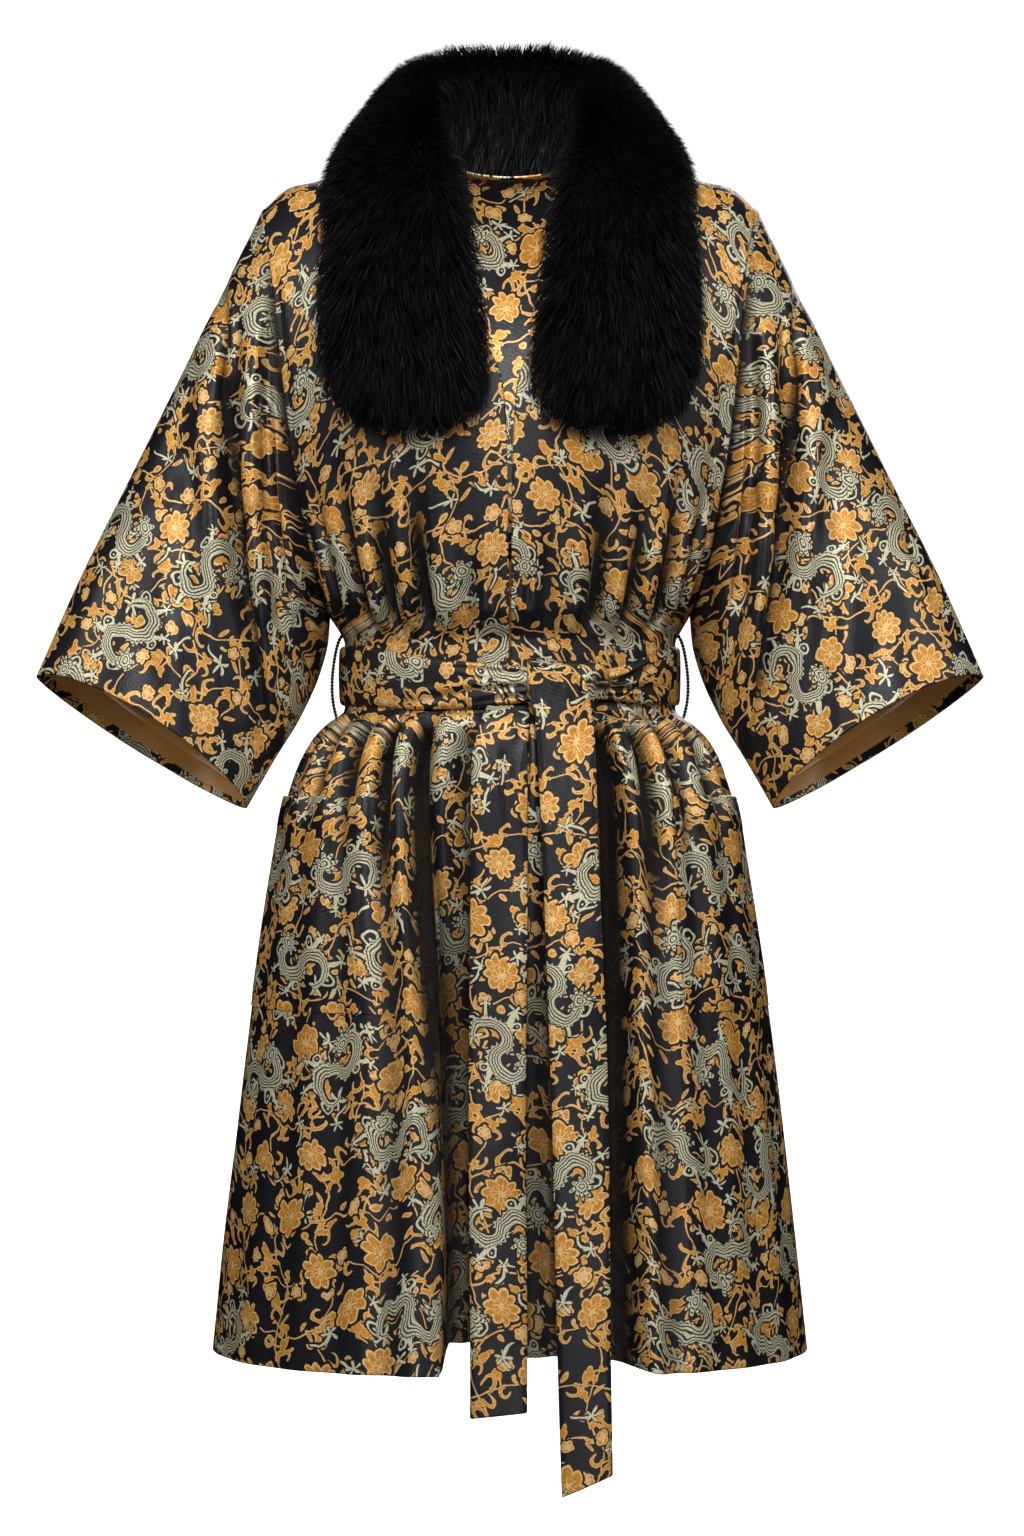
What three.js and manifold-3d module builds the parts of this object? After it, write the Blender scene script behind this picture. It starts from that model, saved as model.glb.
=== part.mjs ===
// A belted brocade kimono coat with a fur shawl collar, filled out as it is when worn, and open below.
// Millimetres, +Z up, the front faces -Y and the wearer's left is +X.
// The origin is midway between the two neck points of the shoulder seams, where the shoulders carry it.

import * as THREE from 'three';
import { mergeVertices } from 'three/addons/utils/BufferGeometryUtils.js';
import Module from 'manifold-3d';

// Driving dimensions

const CLOTH = 1.6;            // brocade wall, with its seam allowance and facing
const LINING = 1.0;
const SEAM = 0.4;             // space left between two pieces at a seam
const REST = 0.5;             // space under a piece that lies on another
const COAT_LENGTH = 980;      // shoulder neck point to hem
const UNDERARM = 383;         // drop of the underarm below the neck point
const NECK_HALF = 72;         // half of the neck width
const NECK_BACK_DEPTH = 54;   // how far the back neck lies behind the shoulder seam
const NECK_BACK_DROP = 12;
const SHOULDER_BACK = 6;      // the shoulder seam runs a little behind the middle
const SHOULDER_TIP_DROP = 50;
const SHOULDER_ARCH = 1.5;
const SHOULDER_ROUND = 0.62;  // the share of the chest height where the shoulder starts to round
const ARM_FRONT = 64;         // half depths of the armhole
const ARM_BACK = 74;
const ARM_SQUARE = 2.4;
const RING_SQUARE = 2.2;      // exponent of the body's sections, 2 is an ellipse
const BELT_TOP = 408;
const BELT_BOTTOM = 458;
const BELT_MIDDLE = 432;
const BELT_THICK = 3;
const BELT_CROWN = 0.8;       // how much fuller the band is at its middle than at its edges
const BELT_CLEAR = 0.8;       // from the waist to the band's inner side
const POCKET_TOP = 531;
const POCKET_BOTTOM = 700;
const RIGHT_POCKET = 0.385;   // where each pocket's inner edge lies, as a share of the quarter ring
const LEFT_POCKET = 0.485;
const POCKET_GAPE = 3;        // how far the mouth stands off its front, and how far down it does
const POCKET_GAPE_DROP = 60;
const POCKET_GAPE_SPAN = [0.12, 0.92];  // the part of half a wave that the gape follows across the mouth
const WAIST = { half: 135.5, front: 95.5, back: 96.5 };

// Sections of the body below the underarm. drop is measured down from the neck point.
const BODY = [
  { drop: UNDERARM, half: 147, front: 110, back: 107 },
  { drop: 395, half: 140, front: 102, back: 101 },
  { drop: BELT_TOP - 3, ...WAIST },
  { drop: BELT_BOTTOM + 1, ...WAIST },
  { drop: 471, half: 150, front: 107, back: 109 },
  { drop: 487, half: 163, front: 115, back: 119 },
  { drop: 510, half: 175, front: 123, back: 128 },
  { drop: 549, half: 187, front: 132, back: 138 },
  { drop: 615, half: 199, front: 140, back: 147 },
  { drop: 746, half: 217, front: 149, back: 156 },
  { drop: 877, half: 232, front: 156, back: 162 },
  { drop: COAT_LENGTH, half: 243, front: 161, back: 166 },
];

// Sections of the chest. up runs from the underarm, 0, to the shoulder seam, 1.
const CHEST = [
  { up: 0, half: 147, front: 110, back: 107 },
  { up: 0.15, half: 162, front: 121, back: 113 },
  { up: 0.33, half: 173, front: 127, back: 119 },
  { up: 0.55, half: 183, front: 124, back: 124 },
  { up: 0.75, half: 190, front: 112, back: 122 },
  { up: 1, half: 203, front: 94, back: 110 },
];

// The free edge of each front: how far it is from the centre line.
const FRONT_EDGE = [
  { drop: 0, x: 72 },
  { drop: 56, x: 63 },
  { drop: 100, x: 50 },
  { drop: 140, x: 34 },
  { drop: 175, x: 17 },
  { drop: 205, x: 6 },
  { drop: 250, x: 3 },
  { drop: UNDERARM, x: 1.5 },
  { drop: COAT_LENGTH, x: 2 },
];

// Folds, one row for each valley, counted from the front edge (or from the right side seam, on the back).
// hem, belt, under and top give the valley's place as a share of the quarter ring (-1 to 1 on the back).
// skirt and low are its depths just below the belt and at the hem, fade is the drop where the gather ends,
// bodice is its depth just above the belt and rise the drop where it dies out.
const FOLD_RIDGE = 0.28;      // height of the ridges beside a valley, as a share of its depth
const FOLD_SHARP = 1.25;      // over 1, valleys are narrower than ridges
const RIGHT_FRONT_FOLDS = [
  { hem: 0.060, belt: 0.13, under: 0.13, top: 0.12, skirt: 5, low: 7, fade: 800, bodice: 3, rise: 300 },
  { hem: 0.144, belt: 0.32, under: 0.31, top: 0.26, skirt: 15, low: 3, fade: 900, bodice: 9, rise: 240 },
  { hem: 0.260, belt: 0.43, under: 0.44, top: 0.42, skirt: 12, low: 3, fade: 640, bodice: 8, rise: 255 },
  { hem: 0.400, belt: 0.56, under: 0.59, top: 0.58, skirt: 9, low: 2, fade: 590, bodice: 8, rise: 230 },
  { hem: 0.570, belt: 0.73, under: 0.75, top: 0.74, skirt: 8, low: 1.5, fade: 560, bodice: 6, rise: 250 },
  { hem: 0.770, belt: 0.88, under: 0.89, top: 0.88, skirt: 6, low: 1, fade: 545, bodice: 3, rise: 280 },
];
const LEFT_FRONT_FOLDS = [
  { hem: 0.090, belt: 0.12, under: 0.12, top: 0.12, skirt: 5, low: 6, fade: 800, bodice: 3, rise: 300 },
  { hem: 0.240, belt: 0.31, under: 0.30, top: 0.27, skirt: 14, low: 9, fade: 900, bodice: 8, rise: 250 },
  { hem: 0.360, belt: 0.45, under: 0.45, top: 0.42, skirt: 10, low: 4, fade: 650, bodice: 7, rise: 265 },
  { hem: 0.490, belt: 0.58, under: 0.60, top: 0.58, skirt: 9, low: 2, fade: 600, bodice: 9, rise: 235 },
  { hem: 0.640, belt: 0.74, under: 0.76, top: 0.74, skirt: 11, low: 1.5, fade: 570, bodice: 6, rise: 250 },
  { hem: 0.800, belt: 0.88, under: 0.89, top: 0.88, skirt: 6, low: 1, fade: 545, bodice: 3, rise: 280 },
];
const BACK_FOLDS = [
  { hem: -0.840, belt: -0.87, under: -0.87, top: -0.86, skirt: 7, low: 6, fade: 600, bodice: 4, rise: 290 },
  { hem: -0.630, belt: -0.69, under: -0.70, top: -0.70, skirt: 9, low: 9, fade: 640, bodice: 8, rise: 260 },
  { hem: -0.440, belt: -0.51, under: -0.52, top: -0.52, skirt: 11, low: 7, fade: 700, bodice: 6, rise: 230 },
  { hem: -0.280, belt: -0.33, under: -0.34, top: -0.34, skirt: 8, low: 11, fade: 620, bodice: 9, rise: 245 },
  { hem: -0.110, belt: -0.14, under: -0.15, top: -0.15, skirt: 12, low: 8, fade: 760, bodice: 6, rise: 270 },
  { hem: 0.080, belt: 0.05, under: 0.05, top: 0.05, skirt: 9, low: 10, fade: 660, bodice: 8, rise: 235 },
  { hem: 0.250, belt: 0.24, under: 0.25, top: 0.25, skirt: 11, low: 7, fade: 720, bodice: 7, rise: 255 },
  { hem: 0.430, belt: 0.42, under: 0.43, top: 0.43, skirt: 8, low: 10, fade: 600, bodice: 8, rise: 240 },
  { hem: 0.610, belt: 0.61, under: 0.62, top: 0.62, skirt: 10, low: 7, fade: 690, bodice: 6, rise: 265 },
  { hem: 0.820, belt: 0.82, under: 0.83, top: 0.82, skirt: 7, low: 6, fade: 600, bodice: 4, rise: 290 },
];

// The drops between which the gather opens below the belt and closes above it.
const GATHER = { hold: 30, shut: 1, open: 28, risen: 45, bodiceShut: 3, bodiceOpen: 26 };

// The steps, in folds and in drop, over which a surface's outward direction is taken.
const PLAIN_STEP = [0.01, 2];
const FOLDED_STEP = [0.06, 3];
const SLEEVE_STEP = [0.05, 0.02];
const ARMHOLE_STEP = 0.004;

// The middle of the skirt hangs back between the fronts. step is the fold where the cloth comes forward
// again, soft the width of that step in folds, depth the recess at the hem, and lift how much the hem rises
// there, over the last stretch of that length.
const RECESS_LIFT_LENGTH = 300;
const RIGHT_RECESS = { step: 1.87, soft: 0.22, depth: 66, lift: 17 };
const LEFT_RECESS = { step: 2.1, soft: 1.4, depth: 50, lift: 8 };

// Sections of a sleeve, from the armhole, 0, to the cuff, 1, in the frontal plane: its top and low corners,
// the middle's y, its half depths to the front and back, and how pointed the section is at its corners.
const SLEEVE = [
  { at: 0, topX: 203, topDrop: 50, lowX: 147, lowDrop: UNDERARM, y: 6, front: 64, back: 74, lens: 0.9 },
  { at: 0.22, topX: 241, topDrop: 128, lowX: 149, lowDrop: 404, y: 2, front: 76, back: 80, lens: 0.95 },
  { at: 0.42, topX: 278, topDrop: 205, lowX: 156, lowDrop: 432, y: -10, front: 70, back: 72, lens: 1.05 },
  { at: 0.62, topX: 312, topDrop: 277, lowX: 170, lowDrop: 465, y: -24, front: 62, back: 62, lens: 1.15 },
  { at: 0.82, topX: 347, topDrop: 351, lowX: 191, lowDrop: 501, y: -38, front: 54, back: 54, lens: 1.2 },
  { at: 1, topX: 382, topDrop: 433, lowX: 212, lowDrop: 539, y: -50, front: 48, back: 48, lens: 1.25 },
];
// The cuff's edge is drawn up at the front and let down at the back.
const CUFF = { start: 0.55, up: 24, down: 10 };

// Long folds that run down a sleeve, on its front (face 1) or back (face -1). start and width are shares of
// the way down the section, slope is how fast the fold sinks along the sleeve, from and to are where it runs.
const SLEEVE_FOLDS = [
  { face: 1, start: 0.10, slope: 1.05, depth: 13, width: 0.17, from: 0.08, to: 0.86 },
  { face: 1, start: 0.34, slope: 1.05, depth: 9, width: 0.15, from: 0.04, to: 0.62 },
  { face: -1, start: 0.14, slope: 1.00, depth: 11, width: 0.17, from: 0.06, to: 0.84 },
  { face: -1, start: 0.40, slope: 0.95, depth: 8, width: 0.15, from: 0.04, to: 0.58 },
];
const SLEEVE_FOLD_LEAD = 0.1;
const SLEEVE_FOLD_EASE = 0.15;
const SEAM_SHARE = 0.06;      // the share of the sleeve whose thickness turns out of the armhole's plane
const SLEEVE_JOIN = 0.4;      // the share of the sleeve that eases out of the armhole's shape
const FACING = 0.95;          // where the cuff's turned-in brocade ends and the lining starts
const LINING_END = 0.3;

// The fur collar's sections from the centre back to the end of one lapel: the middle, then the vectors of
// the half width (a) and the half thickness (t).
const COLLAR = [
  { at: 0, x: 0, y: 93, z: 43, ax: 0, ay: 12, az: -62, tx: 0, ty: 29, tz: 6 },
  { at: 0.07, x: 29, y: 91, z: 43, ax: 4, ay: 12, az: -62, tx: 5, ty: 28, tz: 6 },
  { at: 0.14, x: 55, y: 81, z: 40, ax: 10, ay: 10, az: -60, tx: 12, ty: 26, tz: 8 },
  { at: 0.27, x: 87, y: 45, z: 30, ax: 24, ay: 6, az: -54, tx: 20, ty: 14, tz: 13 },
  { at: 0.38, x: 99, y: 3, z: 20, ax: 33, ay: 0, az: -48, tx: 22, ty: 0, tz: 16 },
  { at: 0.49, x: 100, y: -38, z: 3, ax: 42, ay: -4, az: -36, tx: 16, ty: -14, tz: 18 },
  { at: 0.59, x: 96, y: -73, z: -27, ax: 54, ay: 0, az: -20, tx: 6, ty: -23, tz: 14 },
  { at: 0.69, x: 90, y: -100, z: -68, ax: 61, ay: 8, az: -8, tx: 2, ty: -26, tz: 8 },
  { at: 0.79, x: 88, y: -118, z: -118, ax: 66, ay: 12, az: 0, tx: 3, ty: -26, tz: 3 },
  { at: 0.88, x: 85, y: -126, z: -166, ax: 71, ay: 13, az: 0, tx: 2, ty: -25, tz: 0 },
  { at: 0.94, x: 83, y: -128, z: -200, ax: 69, ay: 12, az: 0, tx: 2, ty: -24, tz: -2 },
  { at: 0.98, x: 81, y: -127, z: -224, ax: 58, ay: 9, az: 0, tx: 2, ty: -20, tz: -2 },
  { at: 1, x: 80, y: -126, z: -236, ax: 40, ay: 6, az: 0, tx: 1, ty: -13, tz: -2 },
];
const COLLAR_SQUARE = 0.85;   // under 1, the sections are fuller at their corners than an ellipse
const COLLAR_ROOM = 26;       // how deep the collar is cleared inside the shoulders

// The belt band round the waist, by the angle from the centre front, with the knot on the wearer's left.
const BELT = [
  { turn: -180, drop: 431, half: 23.5, out: 0 },
  { turn: -60, drop: 432, half: 23.5, out: 0 },
  { turn: -25, drop: 440, half: 20, out: 1.5 },
  { turn: 0, drop: 441, half: 15, out: 4 },
  { turn: 18, drop: 441, half: 11, out: 5 },
  { turn: 32, drop: 440, half: 12, out: 5 },
  { turn: 48, drop: 437, half: 18, out: 3 },
  { turn: 75, drop: 432, half: 23, out: 0 },
  { turn: 180, drop: 431, half: 23.5, out: 0 },
];
const KNOT = { x: 46, drop: 441, halfX: 33, halfY: 7, halfZ: 20, pinch: 0.12, turned: 0.25, blunt: 0.7 };

// The two hanging ends, from the band or the knot down: the middle of the strip, its half width and its lean.
const SHORT_END = [
  { drop: 457.8, x: -1.5, y: -102, half: 16.5, lean: 0 },
  { drop: 472, x: -4, y: -117, half: 19, lean: 2 },
  { drop: 500, x: -8, y: -123, half: 21.5, lean: 2 },
  { drop: 560, x: -9, y: -127, half: 22, lean: 1 },
  { drop: 700, x: -9.4, y: -130, half: 22, lean: -1 },
  { drop: 860, x: -9.4, y: -131, half: 22, lean: 1 },
  { drop: 1014, x: -9.4, y: -131, half: 22, lean: 0 },
];
const LONG_END = [
  { drop: 421, x: 42, y: -115.6, half: 16, lean: 0 },
  { drop: 430, x: 43, y: -119.6, half: 19, lean: 0 },
  { drop: 450, x: 45, y: -120.6, half: 21, lean: 0 },
  { drop: 475, x: 46, y: -125.5, half: 21.5, lean: 1 },
  { drop: 540, x: 47, y: -132, half: 21.5, lean: 2 },
  { drop: 700, x: 52, y: -140, half: 22, lean: 1 },
  { drop: 880, x: 57, y: -144, half: 21, lean: -1 },
  { drop: 1067, x: 60, y: -145, half: 19.5, lean: 1 },
];
const END_THICK = 2.4;
const END_CROWN = 1.2;        // how far the middle of a strip stands out past its edges
const SHORT_SLANT = 5;        // each end is cut on a slant, which shows only near its tip
const LONG_SLANT = 17;
const SLANT_SHARP = 6;

// out is how far the loop stands past the band, lead how far it runs before it bends.
const THREAD_LOOP = { out: 3.4, radius: 1.3, top: 398, bottom: 467, lead: 13 };

// How finely each piece is divided

const COLUMNS_PER_FOLD = 4;
const CHEST_STEPS = 8;
const BODY_DROPS = [
  394, BELT_TOP - 3, BELT_BOTTOM + 1, 471, 487, 508, POCKET_TOP, 600, POCKET_BOTTOM, 830, COAT_LENGTH,
];
const SLEEVE_ROWS = [0, 0.07, 0.16, LINING_END, 0.45, 0.6, 0.76, FACING, 1];
const COLLAR_ROWS = 15;
const COLLAR_CLOSER = 1.4;    // over 1, the sections lie closer together towards the lapels' ends
const COLLAR_SIDES = 16;
const BELT_COLUMNS = 56;
const KNOT_ROWS = 10;
const KNOT_SIDES = 14;
const END_ROWS = 14;
const END_ROW_START = 0.45;    // rows lie closer near the top, where the strip bends

const QUARTER = Math.PI / 2;
const mix = (a, b, share) => a + (b - a) * share;
const clamp01 = (v) => Math.min(1, Math.max(0, v));

function smooth(low, high, v) {
  const t = clamp01((v - low) / (high - low));
  return t * t * (3 - 2 * t);
}

// A smooth curve through one column of a table, with no overshoot between its rows.
function along(table, key, column, at) {
  const last = table.length - 1;
  if (at <= table[0][key]) return table[0][column];
  if (at >= table[last][key]) return table[last][column];
  let i = 0;
  while (at > table[i + 1][key]) i++;
  const width = (n) => table[n + 1][key] - table[n][key];
  const slope = (n) => (table[n + 1][column] - table[n][column]) / width(n);
  const tangent = (n) => {
    if (n === 0) return slope(0);
    if (n === last) return slope(last - 1);
    const before = slope(n - 1);
    const after = slope(n);
    return before * after <= 0 ? 0 : (2 * before * after) / (before + after);
  };
  const w = width(i);
  const t = (at - table[i][key]) / w;
  const h = t * t * (3 - 2 * t);
  return mix(table[i][column], table[i + 1][column], h)
    + w * (t * (1 - t) * (1 - t) * tangent(i) - t * t * (1 - t) * tangent(i + 1));
}

// The body's plain form

// Height of the body's top edge at a place across the shoulders.
function topHeight(x, isBack) {
  const out = Math.abs(x) - NECK_HALF;
  const tip = CHEST[CHEST.length - 1].half - NECK_HALF;
  if (out > 0) return -SHOULDER_TIP_DROP * Math.pow(out / tip, SHOULDER_ARCH);
  return isBack ? -NECK_BACK_DROP * (1 - (x / NECK_HALF) ** 2) : 0;
}

function armDepth(up, isBack) {
  const most = isBack ? ARM_BACK : ARM_FRONT;
  return most * Math.sqrt(Math.max(0, 1 - Math.pow(Math.abs(2 * up - 1), ARM_SQUARE)));
}

// A point of the chest: share is how far round the quarter it is, from the centre or front edge outwards.
function chestPoint(side, share, up, isBack) {
  const half = along(CHEST, 'up', 'half', up);
  const edge = isBack ? 0 : along(FRONT_EDGE, 'drop', 'x', UNDERARM * (1 - up));
  const x = edge + (half - edge) * Math.sin(share * QUARTER);
  const middle = along(CHEST, 'up', isBack ? 'back' : 'front', up);
  const rounded = Math.sqrt(Math.max(0, 1 - (Math.max(0, up - SHOULDER_ROUND) / (1 - SHOULDER_ROUND)) ** 2));
  const open = smooth(0, 0.35, up);
  const across = x / half;
  const crown = Math.pow(Math.max(0, 1 - Math.pow(across, RING_SQUARE)), mix(1 / RING_SQUARE, 1, open));
  const arm = armDepth(up, isBack);
  const neck = isBack && x < NECK_HALF ? NECK_BACK_DEPTH * Math.sqrt(1 - (x / NECK_HALF) ** 2) : 0;
  const depth = arm + (middle * rounded - arm) * crown + neck * (1 - rounded);
  const z = mix(-UNDERARM, topHeight(x, isBack), up);
  return new THREE.Vector3(side * x, SHOULDER_BACK * up + (isBack ? depth : -depth), z);
}

function skirtPoint(side, share, drop, isBack) {
  const half = along(BODY, 'drop', 'half', drop);
  const edge = isBack ? 0 : along(FRONT_EDGE, 'drop', 'x', drop);
  const x = edge + (half - edge) * Math.sin(share * QUARTER);
  const middle = along(BODY, 'drop', isBack ? 'back' : 'front', drop);
  const depth = middle * Math.pow(Math.max(0, 1 - Math.pow(x / half, RING_SQUARE)), 1 / RING_SQUARE);
  return new THREE.Vector3(side * x, isBack ? depth : -depth, -drop);
}

// level is a drop below the underarm, and above it UNDERARM * (1 - up).
function plainPoint(side, share, level, isBack) {
  if (level < UNDERARM) return chestPoint(side, share, 1 - level / UNDERARM, isBack);
  return skirtPoint(side, share, level, isBack);
}

// The outward direction of a surface, from four points round the place.
function outward(surface, u, v, stepU, stepV, lowU, highU, lowV, highV) {
  const alongU = surface(Math.min(highU, u + stepU), v).sub(surface(Math.max(lowU, u - stepU), v));
  const alongV = surface(u, Math.min(highV, v + stepV)).sub(surface(u, Math.max(lowV, v - stepV)));
  return alongU.cross(alongV).normalize();
}

// Folds

// Where fold number c lies round the ring at a level.
function foldShare(folds, low, c, level) {
  const placeOf = (n) => {
    if (n === 0) return low;
    if (n > folds.length) return 1;
    const f = folds[n - 1];
    if (level > BELT_MIDDLE) return mix(f.belt, f.hem, smoothShare(BELT_MIDDLE, COAT_LENGTH, level));
    if (level > UNDERARM) return mix(f.under, f.belt, (level - UNDERARM) / (BELT_MIDDLE - UNDERARM));
    return mix(f.top, f.under, level / UNDERARM);
  };
  const n = Math.min(folds.length, Math.floor(c));
  return mix(placeOf(n), placeOf(n + 1), c - n);
}

// The skirt opens fastest just below the belt, so the folds spread early.
function smoothShare(low, high, v) {
  const t = clamp01((v - low) / (high - low));
  return 1 - (1 - t) * (1 - t);
}

// How far the cloth stands out of its plain form at fold number c.
function foldOut(folds, c, level) {
  const n = Math.round(c);
  const f = folds[Math.min(folds.length, Math.max(1, n)) - 1];
  const wave = 0.5 + 0.5 * Math.cos(2 * Math.PI * c);
  const valley = n < 1 || n > folds.length ? 0 : Math.pow(wave, FOLD_SHARP);
  const ridge = FOLD_RIDGE * (1 - wave);
  let depth = 0;
  if (level > BELT_BOTTOM) {
    const gather = 1 - smooth(BELT_BOTTOM + GATHER.hold, f.fade, level);
    const open = smooth(BELT_BOTTOM + GATHER.shut, BELT_BOTTOM + GATHER.open, level);
    depth = open * (f.skirt * gather + f.low * (1 - gather));
  } else if (level < BELT_TOP) {
    const risen = smooth(f.rise, BELT_TOP - GATHER.risen, level);
    depth = f.bodice * risen * smooth(BELT_TOP - GATHER.bodiceShut, BELT_TOP - GATHER.bodiceOpen, level);
  }
  return depth * (ridge - valley);
}

function recessOf(recess, c, level) {
  if (!recess || level < BELT_BOTTOM) return 0;
  const inside = 1 - smooth(recess.step - recess.soft / 2, recess.step + recess.soft / 2, c);
  return inside * smoothShare(BELT_BOTTOM, COAT_LENGTH, level);
}

// A panel of the body, as a function of the fold number and the level.
function panelSurface({ side, isBack, folds, recess }) {
  const low = isBack ? -1 : 0;
  const count = folds.length + 1;
  const turned = isBack ? 1 : -side;
  const plain = (share, level) => (isBack
    ? plainPoint(Math.sign(share) || 1, Math.abs(share), level, true)
    : plainPoint(side, share, level, false));
  const surface = (c, level) => {
    const share = foldShare(folds, low, c, level);
    const p = plain(share, level);
    const normal = outward(plain, share, level, ...PLAIN_STEP, low, 1, 0, COAT_LENGTH).multiplyScalar(turned);
    p.addScaledVector(normal, foldOut(folds, c, level));
    const back = recessOf(recess, c, level);
    if (back) {
      p.y += recess.depth * back;
      p.z += recess.lift * back * smooth(COAT_LENGTH - RECESS_LIFT_LENGTH, COAT_LENGTH, level);
    }
    p.y += (isBack ? 1 : -1) * SEAM / 2;
    return p;
  };
  const columns = Array.from({ length: count * COLUMNS_PER_FOLD + 1 }, (_, i) => i / COLUMNS_PER_FOLD);
  // At the shoulder and side seams the thickness runs along the seam's plane, so both sides stay parallel.
  const normalAt = (c, level) => {
    const normal = outward(surface, c, level, ...FOLDED_STEP, 0, count, 0, COAT_LENGTH).multiplyScalar(turned);
    const sideSeam = (c === count || (isBack && c === 0)) && level >= UNDERARM;
    if (level === 0 || sideSeam) normal.setY(0).normalize();
    return normal;
  };
  return { surface, columns, normalAt, turned, count, folds };
}

const CHEST_LEVELS = Array.from({ length: CHEST_STEPS + 1 }, (_, i) => (
  UNDERARM * (1 - Math.cos(Math.PI * i / CHEST_STEPS)) / 2
));
const LEVELS = [...CHEST_LEVELS, ...BODY_DROPS];

// Closed walls

// A wall from a grid of outer points and a grid of inner points, row by row.
// ring joins the last column to the first.
function wall(outer, inner, { ring = false, flip = false } = {}) {
  const rows = outer.length;
  const cols = outer[0].length;
  const positions = [];
  const put = (a, b, c, d) => {
    const order = flip ? [a, c, b, a, d, c] : [a, b, c, a, c, d];
    order.forEach((p) => positions.push(p.x, p.y, p.z));
  };
  const spans = ring ? cols : cols - 1;
  for (let r = 0; r < rows - 1; r++) {
    for (let c = 0; c < spans; c++) {
      const n = (c + 1) % cols;
      put(outer[r][c], outer[r][n], outer[r + 1][n], outer[r + 1][c]);
      put(inner[r][c], inner[r + 1][c], inner[r + 1][n], inner[r][n]);
    }
  }
  for (let c = 0; c < spans; c++) {
    const n = (c + 1) % cols;
    put(outer[0][n], outer[0][c], inner[0][c], inner[0][n]);
    put(outer[rows - 1][c], outer[rows - 1][n], inner[rows - 1][n], inner[rows - 1][c]);
  }
  if (!ring) {
    for (let r = 0; r < rows - 1; r++) {
      put(outer[r][0], outer[r + 1][0], inner[r + 1][0], inner[r][0]);
      put(outer[r + 1][cols - 1], outer[r][cols - 1], inner[r][cols - 1], inner[r + 1][cols - 1]);
    }
  }
  return new THREE.BufferGeometry().setAttribute('position', new THREE.Float32BufferAttribute(positions, 3));
}

// A closed body from rings of points, its ends closed by fans.
function loft(rings, flip = false) {
  const positions = [];
  const put = (a, b, c) => (flip ? [a, c, b] : [a, b, c]).forEach((p) => positions.push(p.x, p.y, p.z));
  const count = rings[0].length;
  for (let r = 0; r < rings.length - 1; r++) {
    for (let c = 0; c < count; c++) {
      const n = (c + 1) % count;
      put(rings[r][c], rings[r][n], rings[r + 1][n]);
      put(rings[r][c], rings[r + 1][n], rings[r + 1][c]);
    }
  }
  const middle = (ring) => ring.reduce((sum, p) => sum.add(p), new THREE.Vector3()).divideScalar(count);
  const first = middle(rings[0]);
  const last = middle(rings[rings.length - 1]);
  for (let c = 0; c < count; c++) {
    const n = (c + 1) % count;
    put(rings[0][n], rings[0][c], first);
    put(rings[rings.length - 1][c], rings[rings.length - 1][n], last);
  }
  return new THREE.BufferGeometry().setAttribute('position', new THREE.Float32BufferAttribute(positions, 3));
}

const mirrored = (p) => new THREE.Vector3(-p.x, p.y, p.z);
const shifted = (p, direction, distance) => p.clone().addScaledVector(direction, distance);

// The armhole seam: both sides are thickened in the plane of the armhole, so their faces stay parallel.
function armholePoint(up, isBack) {
  return chestPoint(1, 1, up, isBack);
}

function armholeOutward(up, isBack) {
  const high = armholePoint(Math.min(1, up + ARMHOLE_STEP), isBack);
  const low = armholePoint(Math.max(0, up - ARMHOLE_STEP), isBack);
  const way = high.sub(low);
  const facing = isBack ? 1 : -1;
  return new THREE.Vector3(0, facing * way.z, -facing * way.y).normalize();
}

// Body panels

function panelWall(panel) {
  const grid = (shift) => LEVELS.map((level) => panel.columns.map((c) => (
    shifted(panel.surface(c, level), panel.normalAt(c, level), shift)
  )));
  return wall(grid(0), grid(-CLOTH), { flip: panel.turned < 0 });
}

const rightFront = panelSurface({ side: -1, isBack: false, folds: RIGHT_FRONT_FOLDS, recess: RIGHT_RECESS });
const leftFront = panelSurface({ side: 1, isBack: false, folds: LEFT_FRONT_FOLDS, recess: LEFT_RECESS });
const back = panelSurface({ side: 1, isBack: true, folds: BACK_FOLDS, recess: null });

// A pocket is the part of its front from an inner column to the side seam, moved out, with a gaping mouth.
function pocketWall(panel, innerShare) {
  const first = panel.columns.findIndex((c) => foldShare(panel.folds, 0, c, POCKET_TOP) > innerShare);
  const columns = panel.columns.slice(first);
  const levels = LEVELS.filter((level) => level >= POCKET_TOP && level <= POCKET_BOTTOM);
  const grid = (extra) => levels.map((level) => columns.map((c) => {
    const across = (c - columns[0]) / (panel.count - columns[0]);
    const open = smooth(POCKET_TOP + POCKET_GAPE_DROP, POCKET_TOP, level);
    const gape = POCKET_GAPE * open * Math.sin(Math.PI * mix(...POCKET_GAPE_SPAN, across));
    return shifted(panel.surface(c, level), panel.normalAt(c, level), REST + gape + extra);
  }));
  return wall(grid(CLOTH), grid(0), { flip: panel.turned < 0 });
}

// Sleeves

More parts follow.
